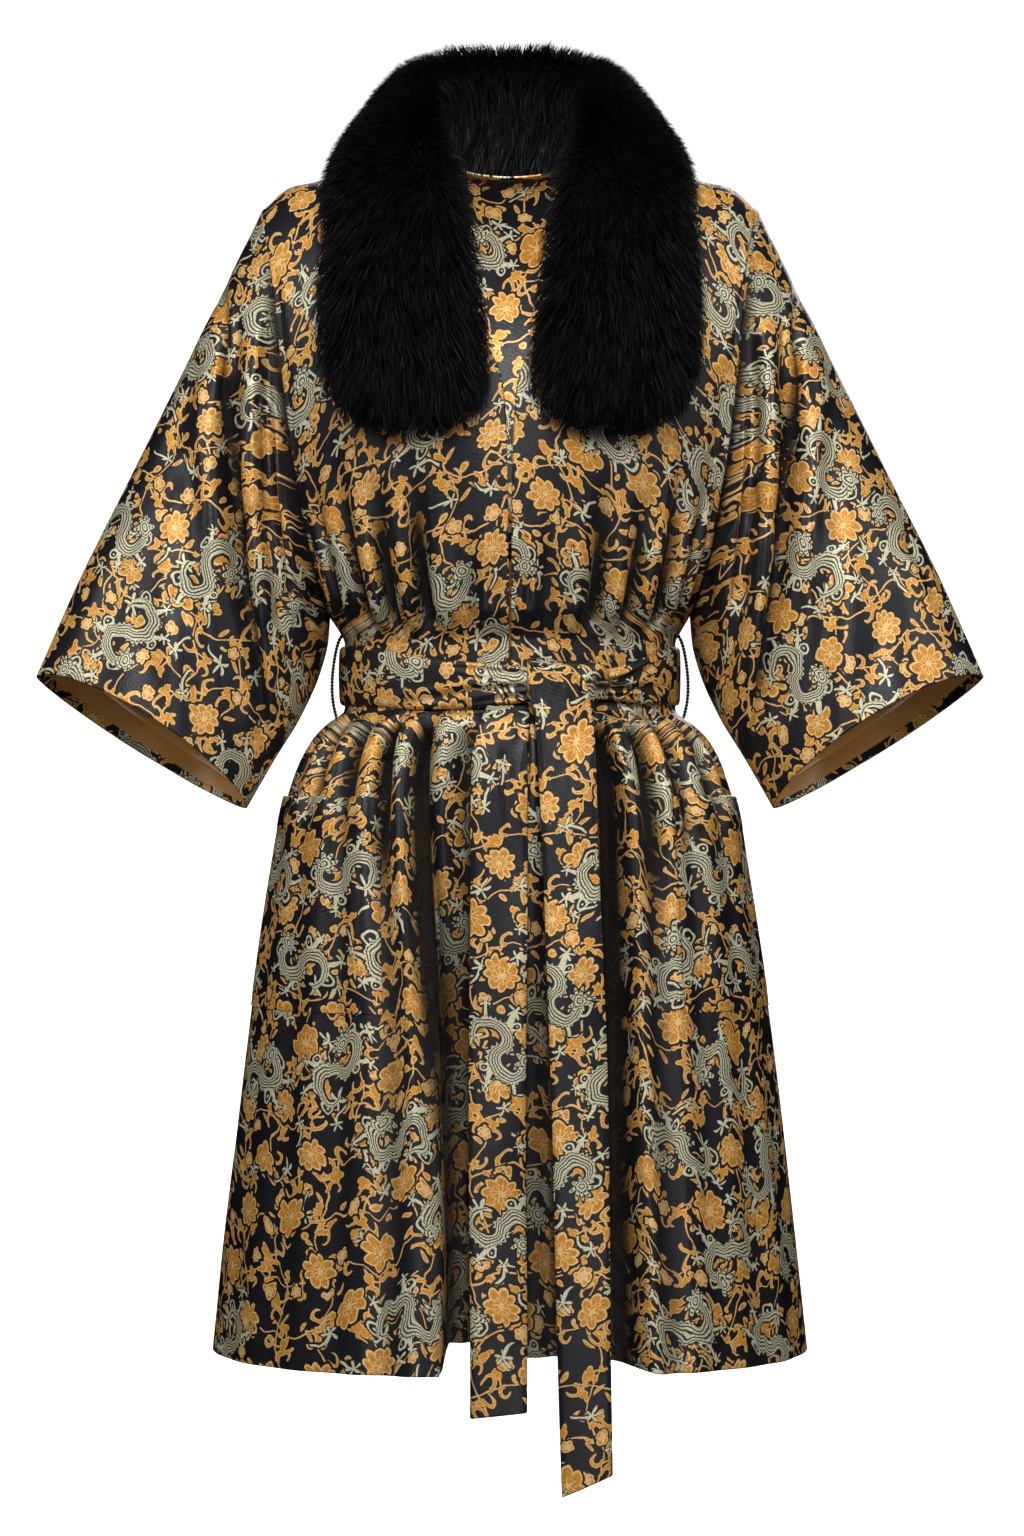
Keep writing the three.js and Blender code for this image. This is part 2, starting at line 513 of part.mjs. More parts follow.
// turn runs round the sleeve: 0 at its top fold, down the front, PI at the underarm seam, then up the back.
function sleeveForm(turn, at) {
  const value = (column) => along(SLEEVE, 'at', column, at);
  const down = (1 - Math.cos(turn)) / 2;
  const face = Math.sin(turn) >= 0 ? 1 : -1;
  const bulge = Math.pow(Math.abs(Math.sin(turn)), value('lens'));
  let depth = bulge * value(face > 0 ? 'front' : 'back');
  SLEEVE_FOLDS.filter((f) => f.face === face).forEach((f) => {
    const away = Math.abs(down - (f.start + f.slope * (at - f.from))) / f.width;
    const begun = smooth(f.from - SLEEVE_FOLD_LEAD, f.from + SLEEVE_FOLD_EASE, at);
    const strength = begun * smooth(f.to + SLEEVE_FOLD_EASE, f.to - SLEEVE_FOLD_EASE, at);
    if (away < 1) depth -= f.depth * strength * bulge * (0.5 + 0.5 * Math.cos(Math.PI * away));
  });
  const top = new THREE.Vector3(value('topX'), value('y'), -value('topDrop'));
  const low = new THREE.Vector3(value('lowX'), value('y'), -value('lowDrop'));
  const span = low.clone().sub(top);
  const upSleeve = new THREE.Vector3(span.z, 0, -span.x).normalize();
  const nearCuff = clamp01((at - CUFF.start) / (1 - CUFF.start)) ** 2;
  const drawn = bulge * nearCuff * (face > 0 ? CUFF.up : -CUFF.down);
  const p = top.addScaledVector(span, down).addScaledVector(upSleeve, drawn);
  p.y -= face * depth;
  return p;
}

function sleeveSurface(turn, at) {
  const isBack = Math.sin(turn) < 0;
  const atArmhole = armholePoint((1 + Math.cos(turn)) / 2, isBack);
  atArmhole.x += SEAM;
  const fromForm = atArmhole.sub(sleeveForm(turn, 0));
  return sleeveForm(turn, at).addScaledVector(fromForm, 1 - smooth(0, SLEEVE_JOIN, at));
}

function sleeveNormal(turn, at) {
  const free = outward(sleeveSurface, turn, at, ...SLEEVE_STEP, -10, 10, 0, 1);
  const seam = armholeOutward((1 + Math.cos(turn)) / 2, Math.sin(turn) < 0);
  return seam.lerp(free, smooth(0, SEAM_SHARE, at)).normalize();
}

const SLEEVE_TURNS = Array.from({ length: CHEST_STEPS * 2 }, (_, i) => Math.PI * i / CHEST_STEPS);

function sleeveGrid(rows, shift, side) {
  return rows.map((at) => SLEEVE_TURNS.map((turn) => {
    const p = shifted(sleeveSurface(turn, at), sleeveNormal(turn, at), shift);
    return side < 0 ? mirrored(p) : p;
  }));
}

function sleeveWall(side) {
  const outer = sleeveGrid(SLEEVE_ROWS, 0, side);
  return wall(outer, sleeveGrid(SLEEVE_ROWS, -CLOTH, side), { ring: true, flip: side < 0 });
}

function liningWall(side) {
  const rows = SLEEVE_ROWS.filter((at) => at >= LINING_END && at <= FACING);
  const outer = sleeveGrid(rows, -CLOTH - SEAM - REST, side);
  return wall(outer, sleeveGrid(rows, -CLOTH - SEAM - REST - LINING, side), { ring: true, flip: side < 0 });
}

// Collar

function collarPoint(at, turn) {
  const value = (column) => along(COLLAR, 'at', column, Math.abs(at));
  const side = at < 0 ? -1 : 1;
  const rounded = (v) => Math.sign(v) * Math.pow(Math.abs(v), COLLAR_SQUARE);
  const width = rounded(Math.cos(turn));
  const thick = rounded(Math.sin(turn));
  return new THREE.Vector3(
    side * (value('x') + value('ax') * width + value('tx') * thick),
    value('y') + value('ay') * width + value('ty') * thick,
    value('z') + value('az') * width + value('tz') * thick,
  );
}

function collarRings() {
  const spots = [];
  for (let i = -COLLAR_ROWS; i <= COLLAR_ROWS; i++) {
    spots.push(Math.sign(i) * (1 - Math.pow(1 - Math.abs(i) / COLLAR_ROWS, COLLAR_CLOSER)));
  }
  return spots.map((at) => Array.from({ length: COLLAR_SIDES }, (_, k) => (
    collarPoint(at, 2 * Math.PI * k / COLLAR_SIDES)
  )));
}

const wasm = await Module();
wasm.setup();

function solidOf(geometry) {
  const merged = mergeVertices(geometry, 1e-3);
  return new wasm.Manifold(new wasm.Mesh({
    numProp: 3,
    vertProperties: merged.attributes.position.array,
    triVerts: new Uint32Array(merged.index.array),
  }));
}

function geometryOf(solid) {
  const mesh = solid.getMesh();
  return new THREE.BufferGeometry()
    .setAttribute('position', new THREE.BufferAttribute(mesh.vertProperties, 3))
    .setIndex(new THREE.BufferAttribute(mesh.triVerts, 1));
}

// The room that the body panels take under the collar: each upper panel, thickened and a little wider.
function bodyRoom(panel, isBack) {
  const levels = CHEST_LEVELS.slice(0, -1);
  const pastSeam = new THREE.Vector3(0, (isBack ? -1 : 1) * (SEAM + REST) / 2, 0);
  const grid = (shift) => levels.map((level) => panel.columns.map((c, i) => {
    const p = shifted(panel.surface(c, level), panel.normalAt(c, level), shift).add(pastSeam);
    if (!isBack && i === 0) p.x -= Math.sign(p.x) * REST;
    if (isBack && level === levels[0] && Math.abs(p.x) < NECK_HALF) p.z += REST;
    return p;
  }));
  return solidOf(wall(grid(REST + SEAM), grid(-COLLAR_ROOM), { flip: panel.turned < 0 }));
}

function collarSolid() {
  let fur = solidOf(loft(collarRings()));
  [[rightFront, false], [leftFront, false], [back, true]].forEach(([panel, isBack]) => {
    fur = fur.subtract(bodyRoom(panel, isBack));
  });
  const parts = fur.decompose().sort((a, b) => b.volume() - a.volume());
  return geometryOf(parts[0]);
}

// Belt

function waistPoint(turn, drop, out) {
  const half = WAIST.half + out;
  const front = WAIST.front + out;
  const rear = WAIST.back + out;
  const squared = (v) => Math.sign(v) * Math.pow(Math.abs(v), 2 / RING_SQUARE);
  const away = Math.cos(turn);
  return new THREE.Vector3(half * squared(Math.sin(turn)), -(away > 0 ? front : rear) * squared(away), -drop);
}

function beltRing() {
  const rings = [];
  for (let i = 0; i < BELT_COLUMNS; i++) {
    const turn = -Math.PI + 2 * Math.PI * i / BELT_COLUMNS;
    const degrees = turn * 180 / Math.PI;
    const value = (column) => along(BELT, 'turn', column, degrees);
    const low = BELT_CLEAR + value('out');
    const crowned = low + BELT_THICK + BELT_CROWN;
    const middle = value('drop');
    const half = value('half');
    rings.push([
      waistPoint(turn, middle - half, low),
      waistPoint(turn, middle - half, low + BELT_THICK),
      waistPoint(turn, middle, crowned),
      waistPoint(turn, middle + half, low + BELT_THICK),
      waistPoint(turn, middle + half, low),
    ]);
  }
  return rings;
}

function beltWall() {
  const rings = beltRing();
  const outer = [1, 2, 3].map((k) => rings.map((ring) => ring[k]));
  const inner = [0, 0, 4].map((k, i) => rings.map((ring) => (i === 1
    ? ring[0].clone().lerp(ring[4], 0.5)
    : ring[k])));
  return wall(outer, inner, { ring: true, flip: true });
}

// The band's outermost y at a place across the front.
function bandFront(x) {
  const turnFor = (out) => Math.asin(Math.pow(x / (WAIST.half + out), RING_SQUARE / 2));
  const outAt = (turn) => (
    BELT_CLEAR + along(BELT, 'turn', 'out', turn * 180 / Math.PI) + BELT_THICK + BELT_CROWN
  );
  const out = outAt(turnFor(outAt(turnFor(0))));
  return waistPoint(turnFor(out), KNOT.drop, out).y;
}

// The knot: a flattened lump on the band, pinched where the two sides of the band go into it.
function knotSolid() {
  const rings = [];
  for (let r = 1; r < KNOT_ROWS; r++) {
    const angle = Math.PI * r / KNOT_ROWS;
    const size = Math.pow(Math.sin(angle), KNOT.blunt);
    const x = KNOT.x - KNOT.halfX * Math.cos(angle);
    const y = bandFront(x) - REST - KNOT.halfY * size * (1 + KNOT.pinch);
    rings.push(Array.from({ length: KNOT_SIDES }, (_, k) => {
      const turn = 2 * Math.PI * k / KNOT_SIDES;
      const pinched = size * (1 + KNOT.pinch * size * Math.cos(2 * turn + KNOT.turned));
      return new THREE.Vector3(
        x,
        y - KNOT.halfY * pinched * Math.cos(turn),
        -KNOT.drop + KNOT.halfZ * pinched * Math.sin(turn),
      );
    }));
  }
  return loft(rings, true);
}

// A hanging end: a flat strip with a shallow crown, cut on a slant.
function endSolid(table, slant) {
  const first = table[0].drop;
  const last = table[table.length - 1].drop;
  const across = [-1, -0.35, 0.35, 1];
  const grid = (shift) => Array.from({ length: END_ROWS + 1 }, (_, r) => {
    const share = r / END_ROWS;
    const drop = mix(first, last, share * mix(END_ROW_START, 1, share));
    const value = (column) => along(table, 'drop', column, drop);
    return across.map((u) => new THREE.Vector3(
      value('x') + u * value('half'),
      value('y') + u * value('lean') + shift - END_CROWN * (1 - u * u),
      -drop + smooth(first, last, drop) ** SLANT_SHARP * slant * u / 2,
    ));
  });
  return wall(grid(-END_THICK / 2), grid(END_THICK / 2), { flip: true });
}

// A thread loop at the side seam that holds the belt: a cord bowed out past the band.
function threadLoop(side) {
  const { out, radius, top, bottom, lead } = THREAD_LOOP;
  const reach = along(BODY, 'drop', 'half', BELT_MIDDLE) + BELT_CLEAR + BELT_THICK + out;
  const foot = (drop) => along(BODY, 'drop', 'half', drop) + radius + 2 * REST + SEAM;
  const points = [
    new THREE.Vector3(side * foot(top), 0, -top),
    new THREE.Vector3(side * (reach - 1), 0, -top - lead),
    new THREE.Vector3(side * reach, 0, -BELT_MIDDLE),
    new THREE.Vector3(side * (reach + 1), 0, -bottom + lead),
    new THREE.Vector3(side * foot(bottom), 0, -bottom),
  ];
  const section = new THREE.Shape().absarc(0, 0, radius, 0, 2 * Math.PI);
  const path = new THREE.CatmullRomCurve3(points);
  const settings = { steps: 8, curveSegments: 6, bevelEnabled: false, extrudePath: path };
  return new THREE.ExtrudeGeometry(section, settings);
}

// Materials and the model

const brocade = { color: 0x6d5222, roughness: 0.55, metalness: 0.1 };
const satin = { color: 0x7a4a14, roughness: 0.35, metalness: 0.1 };
const fur = { color: 0x0b0b0b, roughness: 0.8, metalness: 0 };
const thread = { color: 0x111111, roughness: 0.7, metalness: 0 };
const coat = new THREE.Group();

function add(name, geometry, finish) {
  const bare = geometry.index ? geometry : mergeVertices(geometry, 1e-3);
  ['normal', 'uv'].forEach((attribute) => bare.deleteAttribute(attribute));
  const mesh = new THREE.Mesh(mergeVertices(bare, 1e-3), new THREE.MeshStandardMaterial(finish));
  mesh.name = name;
  coat.add(mesh);
}

add('back', panelWall(back), brocade);
add('front_right', panelWall(rightFront), brocade);
add('front_left', panelWall(leftFront), brocade);
add('sleeve_right', sleeveWall(-1), brocade);
add('sleeve_left', sleeveWall(1), brocade);
add('sleeve_lining_right', liningWall(-1), satin);
add('sleeve_lining_left', liningWall(1), satin);
add('pocket_right', pocketWall(rightFront, RIGHT_POCKET), brocade);
add('pocket_left', pocketWall(leftFront, LEFT_POCKET), brocade);
add('fur_collar', collarSolid(), fur);
add('belt_band', beltWall(), brocade);
add('belt_knot', knotSolid(), brocade);
add('belt_end_short', endSolid(SHORT_END, SHORT_SLANT), brocade);
add('belt_end_long', endSolid(LONG_END, LONG_SLANT), brocade);
add('belt_loop_right', threadLoop(-1), thread);
add('belt_loop_left', threadLoop(1), thread);

export default coat;
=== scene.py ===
import math

import bpy
import numpy as np
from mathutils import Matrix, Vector
from mathutils.bvhtree import BVHTree


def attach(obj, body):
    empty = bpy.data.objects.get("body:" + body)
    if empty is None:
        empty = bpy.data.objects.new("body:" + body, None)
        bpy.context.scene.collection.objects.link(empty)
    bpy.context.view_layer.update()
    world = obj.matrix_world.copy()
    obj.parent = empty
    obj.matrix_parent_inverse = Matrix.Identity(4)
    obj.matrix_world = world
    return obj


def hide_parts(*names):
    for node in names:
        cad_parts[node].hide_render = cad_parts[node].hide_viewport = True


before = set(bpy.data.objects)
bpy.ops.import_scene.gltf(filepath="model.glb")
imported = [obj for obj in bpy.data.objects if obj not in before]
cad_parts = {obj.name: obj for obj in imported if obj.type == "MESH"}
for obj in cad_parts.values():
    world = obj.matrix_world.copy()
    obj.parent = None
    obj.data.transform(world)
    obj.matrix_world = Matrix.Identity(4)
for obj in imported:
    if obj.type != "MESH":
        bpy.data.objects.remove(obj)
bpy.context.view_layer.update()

MM = 0.001

# The camera stands level in front of the coat, at half its height


def place_camera():
    data = bpy.data.cameras.new("camera")
    data.lens = 85.75
    data.sensor_width = 36
    data.clip_end = 60
    camera = bpy.data.objects.new("camera", data)
    camera.location = (0.0016, -3.0, -0.5068)
    camera.rotation_euler = (math.pi / 2, 0, 0)
    bpy.context.scene.collection.objects.link(camera)
    bpy.context.scene.camera = camera


place_camera()

# Sizes of the coat, in millimetres, as the solids have them

CLOTH = 1.6
LINING = 1.0
SEAM = 0.4
REST = 0.5
COAT_LENGTH = 980
UNDERARM = 383
NECK_HALF = 72
NECK_BACK_DEPTH = 54
NECK_BACK_DROP = 12
SHOULDER_BACK = 6
SHOULDER_TIP_DROP = 50
SHOULDER_ARCH = 1.5
SHOULDER_ROUND = 0.62
ARM_FRONT = 64
ARM_BACK = 74
ARM_SQUARE = 2.4
RING_SQUARE = 2.2
BELT_TOP = 408
BELT_BOTTOM = 458
BELT_MIDDLE = 432
BELT_THICK = 3
BELT_CROWN = 0.8
BELT_CLEAR = 0.8
POCKET_TOP = 531
POCKET_BOTTOM = 700
POCKET_GAPE = 3
POCKET_GAPE_DROP = 60
WAIST_HALF, WAIST_FRONT, WAIST_BACK = 135.5, 95.5, 96.5


class Table:
    """Rows of numbers, each column read as a smooth curve over the first one, with no overshoot."""

    def __init__(self, names, rows):
        columns = np.array(rows, float).T
        self.key = columns[0]
        self.columns = dict(zip(names.split()[1:], columns[1:]))

    def at(self, name, where):
        x, y = self.key, self.columns[name]
        where = np.clip(np.asarray(where, float), x[0], x[-1])
        i = np.clip(np.searchsorted(x, where, side="right") - 1, 0, len(x) - 2)
        width = np.diff(x)
        slope = np.diff(y) / width
        before, after = slope[:-1], slope[1:]
        total = np.where(before + after == 0, 1, before + after)
        middle = np.where(before * after > 0, 2 * before * after / total, 0)
        tangent = np.concatenate([slope[:1], middle, slope[-1:]])
        t = (where - x[i]) / width[i]
        bend = t * (1 - t) ** 2 * tangent[i] - t * t * (1 - t) * tangent[i + 1]
        return y[i] + (y[i + 1] - y[i]) * t * t * (3 - 2 * t) + width[i] * bend


BODY = Table("drop half front back", [
    (UNDERARM, 147, 110, 107),
    (395, 140, 102, 101),
    (BELT_TOP - 3, WAIST_HALF, WAIST_FRONT, WAIST_BACK),
    (BELT_BOTTOM + 1, WAIST_HALF, WAIST_FRONT, WAIST_BACK),
    (471, 150, 107, 109),
    (487, 163, 115, 119),
    (510, 175, 123, 128),
    (549, 187, 132, 138),
    (615, 199, 140, 147),
    (746, 217, 149, 156),
    (877, 232, 156, 162),
    (COAT_LENGTH, 243, 161, 166),
])
CHEST = Table("up half front back", [
    (0, 147, 110, 107),
    (0.15, 162, 121, 113),
    (0.33, 173, 127, 119),
    (0.55, 183, 124, 124),
    (0.75, 190, 112, 122),
    (1, 203, 94, 110),
])
FRONT_EDGE = Table("drop x", [
    (0, 72), (56, 63), (100, 50), (140, 34), (175, 17), (205, 6), (250, 3), (UNDERARM, 1.5), (COAT_LENGTH, 2),
])

# Folds, a row for each valley: hem, belt, under and top are places across, the others depths and drops
FOLD_NAMES = ("hem", "belt", "under", "top", "skirt", "low", "fade", "bodice", "rise")
FOLD_RIDGE = 0.28       # how far a ridge stands out, for each unit of the valley's depth
FOLD_SHARP = 1.25       # how narrow a valley is away from the belt
FOLD_PRESSED = 1.3      # how much narrower the belt presses it
FOLD_PRESSED_DEEP = 0.3
BELT_REACH = 120        # how far up and down the belt's pressing is felt
FRONT_DEEPEN = 1.5      # the valleys against those of the solids
BACK_DEEPEN = 1.1
RIGHT_FRONT_FOLDS = [
    (0.060, 0.13, 0.13, 0.12, 5, 7, 800, 3, 300),
    (0.144, 0.32, 0.31, 0.26, 15, 3, 900, 9, 240),
    (0.260, 0.43, 0.44, 0.42, 12, 3, 640, 8, 255),
    (0.400, 0.56, 0.59, 0.58, 9, 2, 590, 8, 230),
    (0.570, 0.73, 0.75, 0.74, 8, 1.5, 560, 6, 250),
    (0.770, 0.88, 0.89, 0.88, 6, 1, 545, 3, 280),
]
LEFT_FRONT_FOLDS = [
    (0.090, 0.12, 0.12, 0.12, 5, 6, 800, 3, 300),
    (0.240, 0.31, 0.30, 0.27, 14, 9, 900, 8, 250),
    (0.360, 0.45, 0.45, 0.42, 10, 4, 650, 7, 265),
    (0.490, 0.58, 0.60, 0.58, 9, 2, 600, 9, 235),
    (0.640, 0.74, 0.76, 0.74, 11, 1.5, 570, 6, 250),
    (0.800, 0.88, 0.89, 0.88, 6, 1, 545, 3, 280),
]
BACK_FOLDS = [
    (-0.840, -0.87, -0.87, -0.86, 7, 6, 600, 4, 290),
    (-0.630, -0.69, -0.70, -0.70, 9, 9, 640, 8, 260),
    (-0.440, -0.51, -0.52, -0.52, 11, 7, 700, 6, 230),
    (-0.280, -0.33, -0.34, -0.34, 8, 11, 620, 9, 245),
    (-0.110, -0.14, -0.15, -0.15, 12, 8, 760, 6, 270),
    (0.080, 0.05, 0.05, 0.05, 9, 10, 660, 8, 235),
    (0.250, 0.24, 0.25, 0.25, 11, 7, 720, 7, 255),
    (0.430, 0.42, 0.43, 0.43, 8, 10, 600, 8, 240),
    (0.610, 0.61, 0.62, 0.62, 10, 7, 690, 6, 265),
    (0.820, 0.82, 0.83, 0.82, 7, 6, 600, 4, 290),
]
RIGHT_RECESS = {"step": 1.87, "soft": 0.22, "depth": 66, "lift": 17}
LEFT_RECESS = {"step": 2.1, "soft": 1.4, "depth": 50, "lift": 8}

SLEEVE = Table("at topX topDrop lowX lowDrop y front back lens", [
    (0, 203, 50, 147, UNDERARM, 6, 64, 74, 0.9),
    (0.22, 241, 128, 149, 404, 2, 76, 80, 0.95),
    (0.42, 278, 205, 156, 432, -10, 70, 72, 1.05),
    (0.62, 312, 277, 170, 465, -24, 62, 62, 1.15),
    (0.82, 347, 351, 191, 501, -38, 54, 54, 1.2),
    (1, 382, 433, 212, 539, -50, 48, 48, 1.25),
])
CUFF_START, CUFF_UP, CUFF_DOWN = 0.55, 24, 10
SLEEVE_FOLDS = [  # face, start, slope, depth, width, from, to
    (1, 0.10, 1.05, 13, 0.17, 0.08, 0.86),
    (1, 0.34, 1.05, 9, 0.15, 0.04, 0.62),
    (-1, 0.14, 1.00, 11, 0.17, 0.06, 0.84),
    (-1, 0.40, 0.95, 8, 0.15, 0.04, 0.58),
]
SLEEVE_JOIN = 0.4
FACING = 0.95
LINING_END = 0.3

BELT = Table("turn drop half out", [
    (-180, 431, 23.5, 0),
    (-60, 432, 23.5, 0),
    (-25, 440, 20, 1.5),
    (0, 441, 15, 4),
    (18, 441, 11, 5),
    (32, 440, 12, 5),
    (48, 437, 18, 3),
    (75, 432, 23, 0),
    (180, 431, 23.5, 0),
])
KNOT_X, KNOT_DROP = 46, 441
SHORT_END = Table("drop x y half lean", [
    (457.8, -1.5, -102, 16.5, 0),
    (472, -4, -117, 19, 2),
    (500, -8, -123, 21.5, 2),
    (560, -9, -127, 22, 1),
    (700, -9.4, -130, 22, -1),
    (860, -9.4, -131, 22, 1),
    (1014, -9.4, -131, 22, 0),
])
LONG_END = Table("drop x y half lean", [
    (420, 23, -111, 9, -6),
    (429, 32, -119.6, 18, -5),
    (443, 38, -122.6, 22, -3),
    (465, 42, -125, 22.2, 0),
    (500, 45, -129, 22.5, 1),
    (560, 47.5, -133, 21.5, 2),
    (700, 52, -140, 22, 1),
    (880, 57, -144, 21, -1),
    (1067, 60, -145, 19.5, 1),
])
END_THICK = 2.4
END_CROWN = 1.2
SHORT_SLANT = 5
LONG_SLANT = 17


def smooth(low, high, v):
    t = np.clip((v - low) / (high - low), 0, 1)
    return t * t * (3 - 2 * t)


def early(low, high, v):
    """Rises from 0 to 1, fastest at first."""
    return 1 - (1 - np.clip((v - low) / (high - low), 0, 1)) ** 2


def mix(a, b, share):
    return a + (b - a) * share


def unit(vectors):
    return vectors / np.maximum(np.linalg.norm(vectors, axis=-1, keepdims=True), 1e-9)


# The body's surfaces, the same as the solids have


def top_height(x, is_back):
    out = np.maximum(np.abs(x) - NECK_HALF, 0) / (CHEST.at("half", 1) - NECK_HALF)
    slope = -SHOULDER_TIP_DROP * out ** SHOULDER_ARCH
    if not is_back:
        return slope
    dip = -NECK_BACK_DROP * np.maximum(0, 1 - (x / NECK_HALF) ** 2)
    return slope + dip


def chest_point(side, share, up, is_back):
    half = CHEST.at("half", up)
    edge = 0 if is_back else FRONT_EDGE.at("x", UNDERARM * (1 - up))
    x = edge + (half - edge) * np.sin(share * math.pi / 2)
    middle = CHEST.at("back" if is_back else "front", up)
    above = np.clip((up - SHOULDER_ROUND) / (1 - SHOULDER_ROUND), 0, 1)
    rounded = np.sqrt(1 - above ** 2)
    opened = smooth(0, 0.35, up)
    across = np.clip(x / half, 0, 1)
    crown = np.maximum(0, 1 - across ** RING_SQUARE) ** mix(1 / RING_SQUARE, 1, opened)
    most = ARM_BACK if is_back else ARM_FRONT
    arm = most * np.sqrt(np.maximum(0, 1 - np.abs(2 * up - 1) ** ARM_SQUARE))
    neck = NECK_BACK_DEPTH * np.sqrt(np.maximum(0, 1 - (x / NECK_HALF) ** 2)) if is_back else 0
    depth = arm + (middle * rounded - arm) * crown + neck * (1 - rounded)
    z = mix(-UNDERARM, top_height(x, is_back), up)
    y = SHOULDER_BACK * up + (depth if is_back else -depth)
    return np.stack(np.broadcast_arrays(side * x, y, z), axis=-1)


def skirt_point(side, share, drop, is_back):
    half = BODY.at("half", drop)
    edge = 0 if is_back else FRONT_EDGE.at("x", drop)
    x = edge + (half - edge) * np.sin(share * math.pi / 2)
    middle = BODY.at("back" if is_back else "front", drop)
    depth = middle * np.maximum(0, 1 - (x / half) ** RING_SQUARE) ** (1 / RING_SQUARE)
    return np.stack(np.broadcast_arrays(side * x, depth if is_back else -depth, -drop), axis=-1)


def plain_point(side, share, level, is_back):
    up = np.clip(1 - level / UNDERARM, 0, 1)
    chest = chest_point(side, share, up, is_back)
    skirt = skirt_point(side, share, np.maximum(level, UNDERARM), is_back)
    return np.where((level < UNDERARM)[..., None], chest, skirt)


def outward(surface, u, v, steps, low, high):
    """The outward direction of a surface, from four points round each place."""
    along_u = surface(np.minimum(high[0], u + steps[0]), v) - surface(np.maximum(low[0], u - steps[0]), v)
    along_v = surface(u, np.minimum(high[1], v + steps[1])) - surface(u, np.maximum(low[1], v - steps[1]))
    return unit(np.cross(along_u, along_v))


class Panel:
    """A front or the back. c counts its folds round the body, and level is the drop from the shoulder."""

    def __init__(self, side, is_back, folds, recess, deepen):
        self.side, self.is_back, self.recess = side, is_back, recess
        self.low = -1 if is_back else 0
        self.count = len(folds) + 1
        self.turned = 1 if is_back else -side
        self.deepen = deepen
        self.folds = {n: np.array(column, float) for n, column in zip(FOLD_NAMES, zip(*folds))}
        for name in FOLD_NAMES[:4]:
            self.folds[name] = np.concatenate([[self.low], self.folds[name], [1]])

    def place(self, n, level):
        f = self.folds
        skirt = mix(f["belt"][n], f["hem"][n], early(BELT_MIDDLE, COAT_LENGTH, level))
        waist = mix(f["under"][n], f["belt"][n], (level - UNDERARM) / (BELT_MIDDLE - UNDERARM))
        chest = mix(f["top"][n], f["under"][n], level / UNDERARM)
        return np.where(level > BELT_MIDDLE, skirt, np.where(level > UNDERARM, waist, chest))

    def share(self, c, level):
        n = np.clip(np.floor(c).astype(int), 0, self.count - 1)
        return mix(self.place(n, level), self.place(n + 1, level), c - n)

    def plain(self, share, level):
        side = np.where(share < 0, -1, 1) if self.is_back else self.side
        return plain_point(side, np.abs(share), level, self.is_back)

    def fold_out(self, c, level):
        n = np.round(c).astype(int)
        real = (n >= 1) & (n < self.count)
        k = np.clip(n, 1, self.count - 1) - 1
        f = self.folds
        wave = 0.5 + 0.5 * np.cos(2 * math.pi * c)
        pressed = np.exp(-((level - BELT_MIDDLE) / BELT_REACH) ** 2)
        valley = np.where(real, wave ** (FOLD_SHARP + FOLD_PRESSED * pressed), 0)
        gather = 1 - smooth(BELT_BOTTOM + 30, f["fade"][k], level)
        opened = smooth(BELT_BOTTOM + 1, BELT_BOTTOM + 28, level)
        skirt = opened * (f["skirt"][k] * gather + f["low"][k] * (1 - gather))
        rise = smooth(f["rise"][k], BELT_TOP - 45, level)
        bodice = f["bodice"][k] * rise * smooth(BELT_TOP - 3, BELT_TOP - 26, level)
        depth = np.where(level > BELT_BOTTOM, skirt, np.where(level < BELT_TOP, bodice, 0))
        return depth * (FOLD_RIDGE * (1 - wave) - self.deepen * (1 + FOLD_PRESSED_DEEP * pressed) * valley)

    def surface(self, c, level):
        share = self.share(c, level)
        p = self.plain(share, level)
        normal = self.turned * outward(self.plain, share, level, (0.01, 2), (self.low, 0), (1, COAT_LENGTH))
        p = p + normal * self.fold_out(c, level)[..., None]
        if self.recess:
            r = self.recess
            inside = 1 - smooth(r["step"] - r["soft"] / 2, r["step"] + r["soft"] / 2, c)
            hung = np.where(level > BELT_BOTTOM, inside * early(BELT_BOTTOM, COAT_LENGTH, level), 0)
            p[..., 1] += r["depth"] * hung
            p[..., 2] += r["lift"] * hung * smooth(COAT_LENGTH - 300, COAT_LENGTH, level)
        p[..., 1] += (1 if self.is_back else -1) * SEAM / 2
        return p

    def normal(self, c, level):
        n = self.turned * outward(self.surface, c, level, (0.06, 3), (0, 0), (self.count, COAT_LENGTH))
        at_side = (c == self.count) | ((c == 0) & self.is_back)
        seam = (level == 0) | (at_side & (level >= UNDERARM))
        n[..., 1] = np.where(seam, 0, n[..., 1])
        return unit(n)


right_front = Panel(-1, False, RIGHT_FRONT_FOLDS, RIGHT_RECESS, FRONT_DEEPEN)
left_front = Panel(1, False, LEFT_FRONT_FOLDS, LEFT_RECESS, FRONT_DEEPEN)
back = Panel(1, True, BACK_FOLDS, None, BACK_DEEPEN)


def armhole_point(up, is_back):
    return chest_point(1, np.ones_like(up), up, is_back)


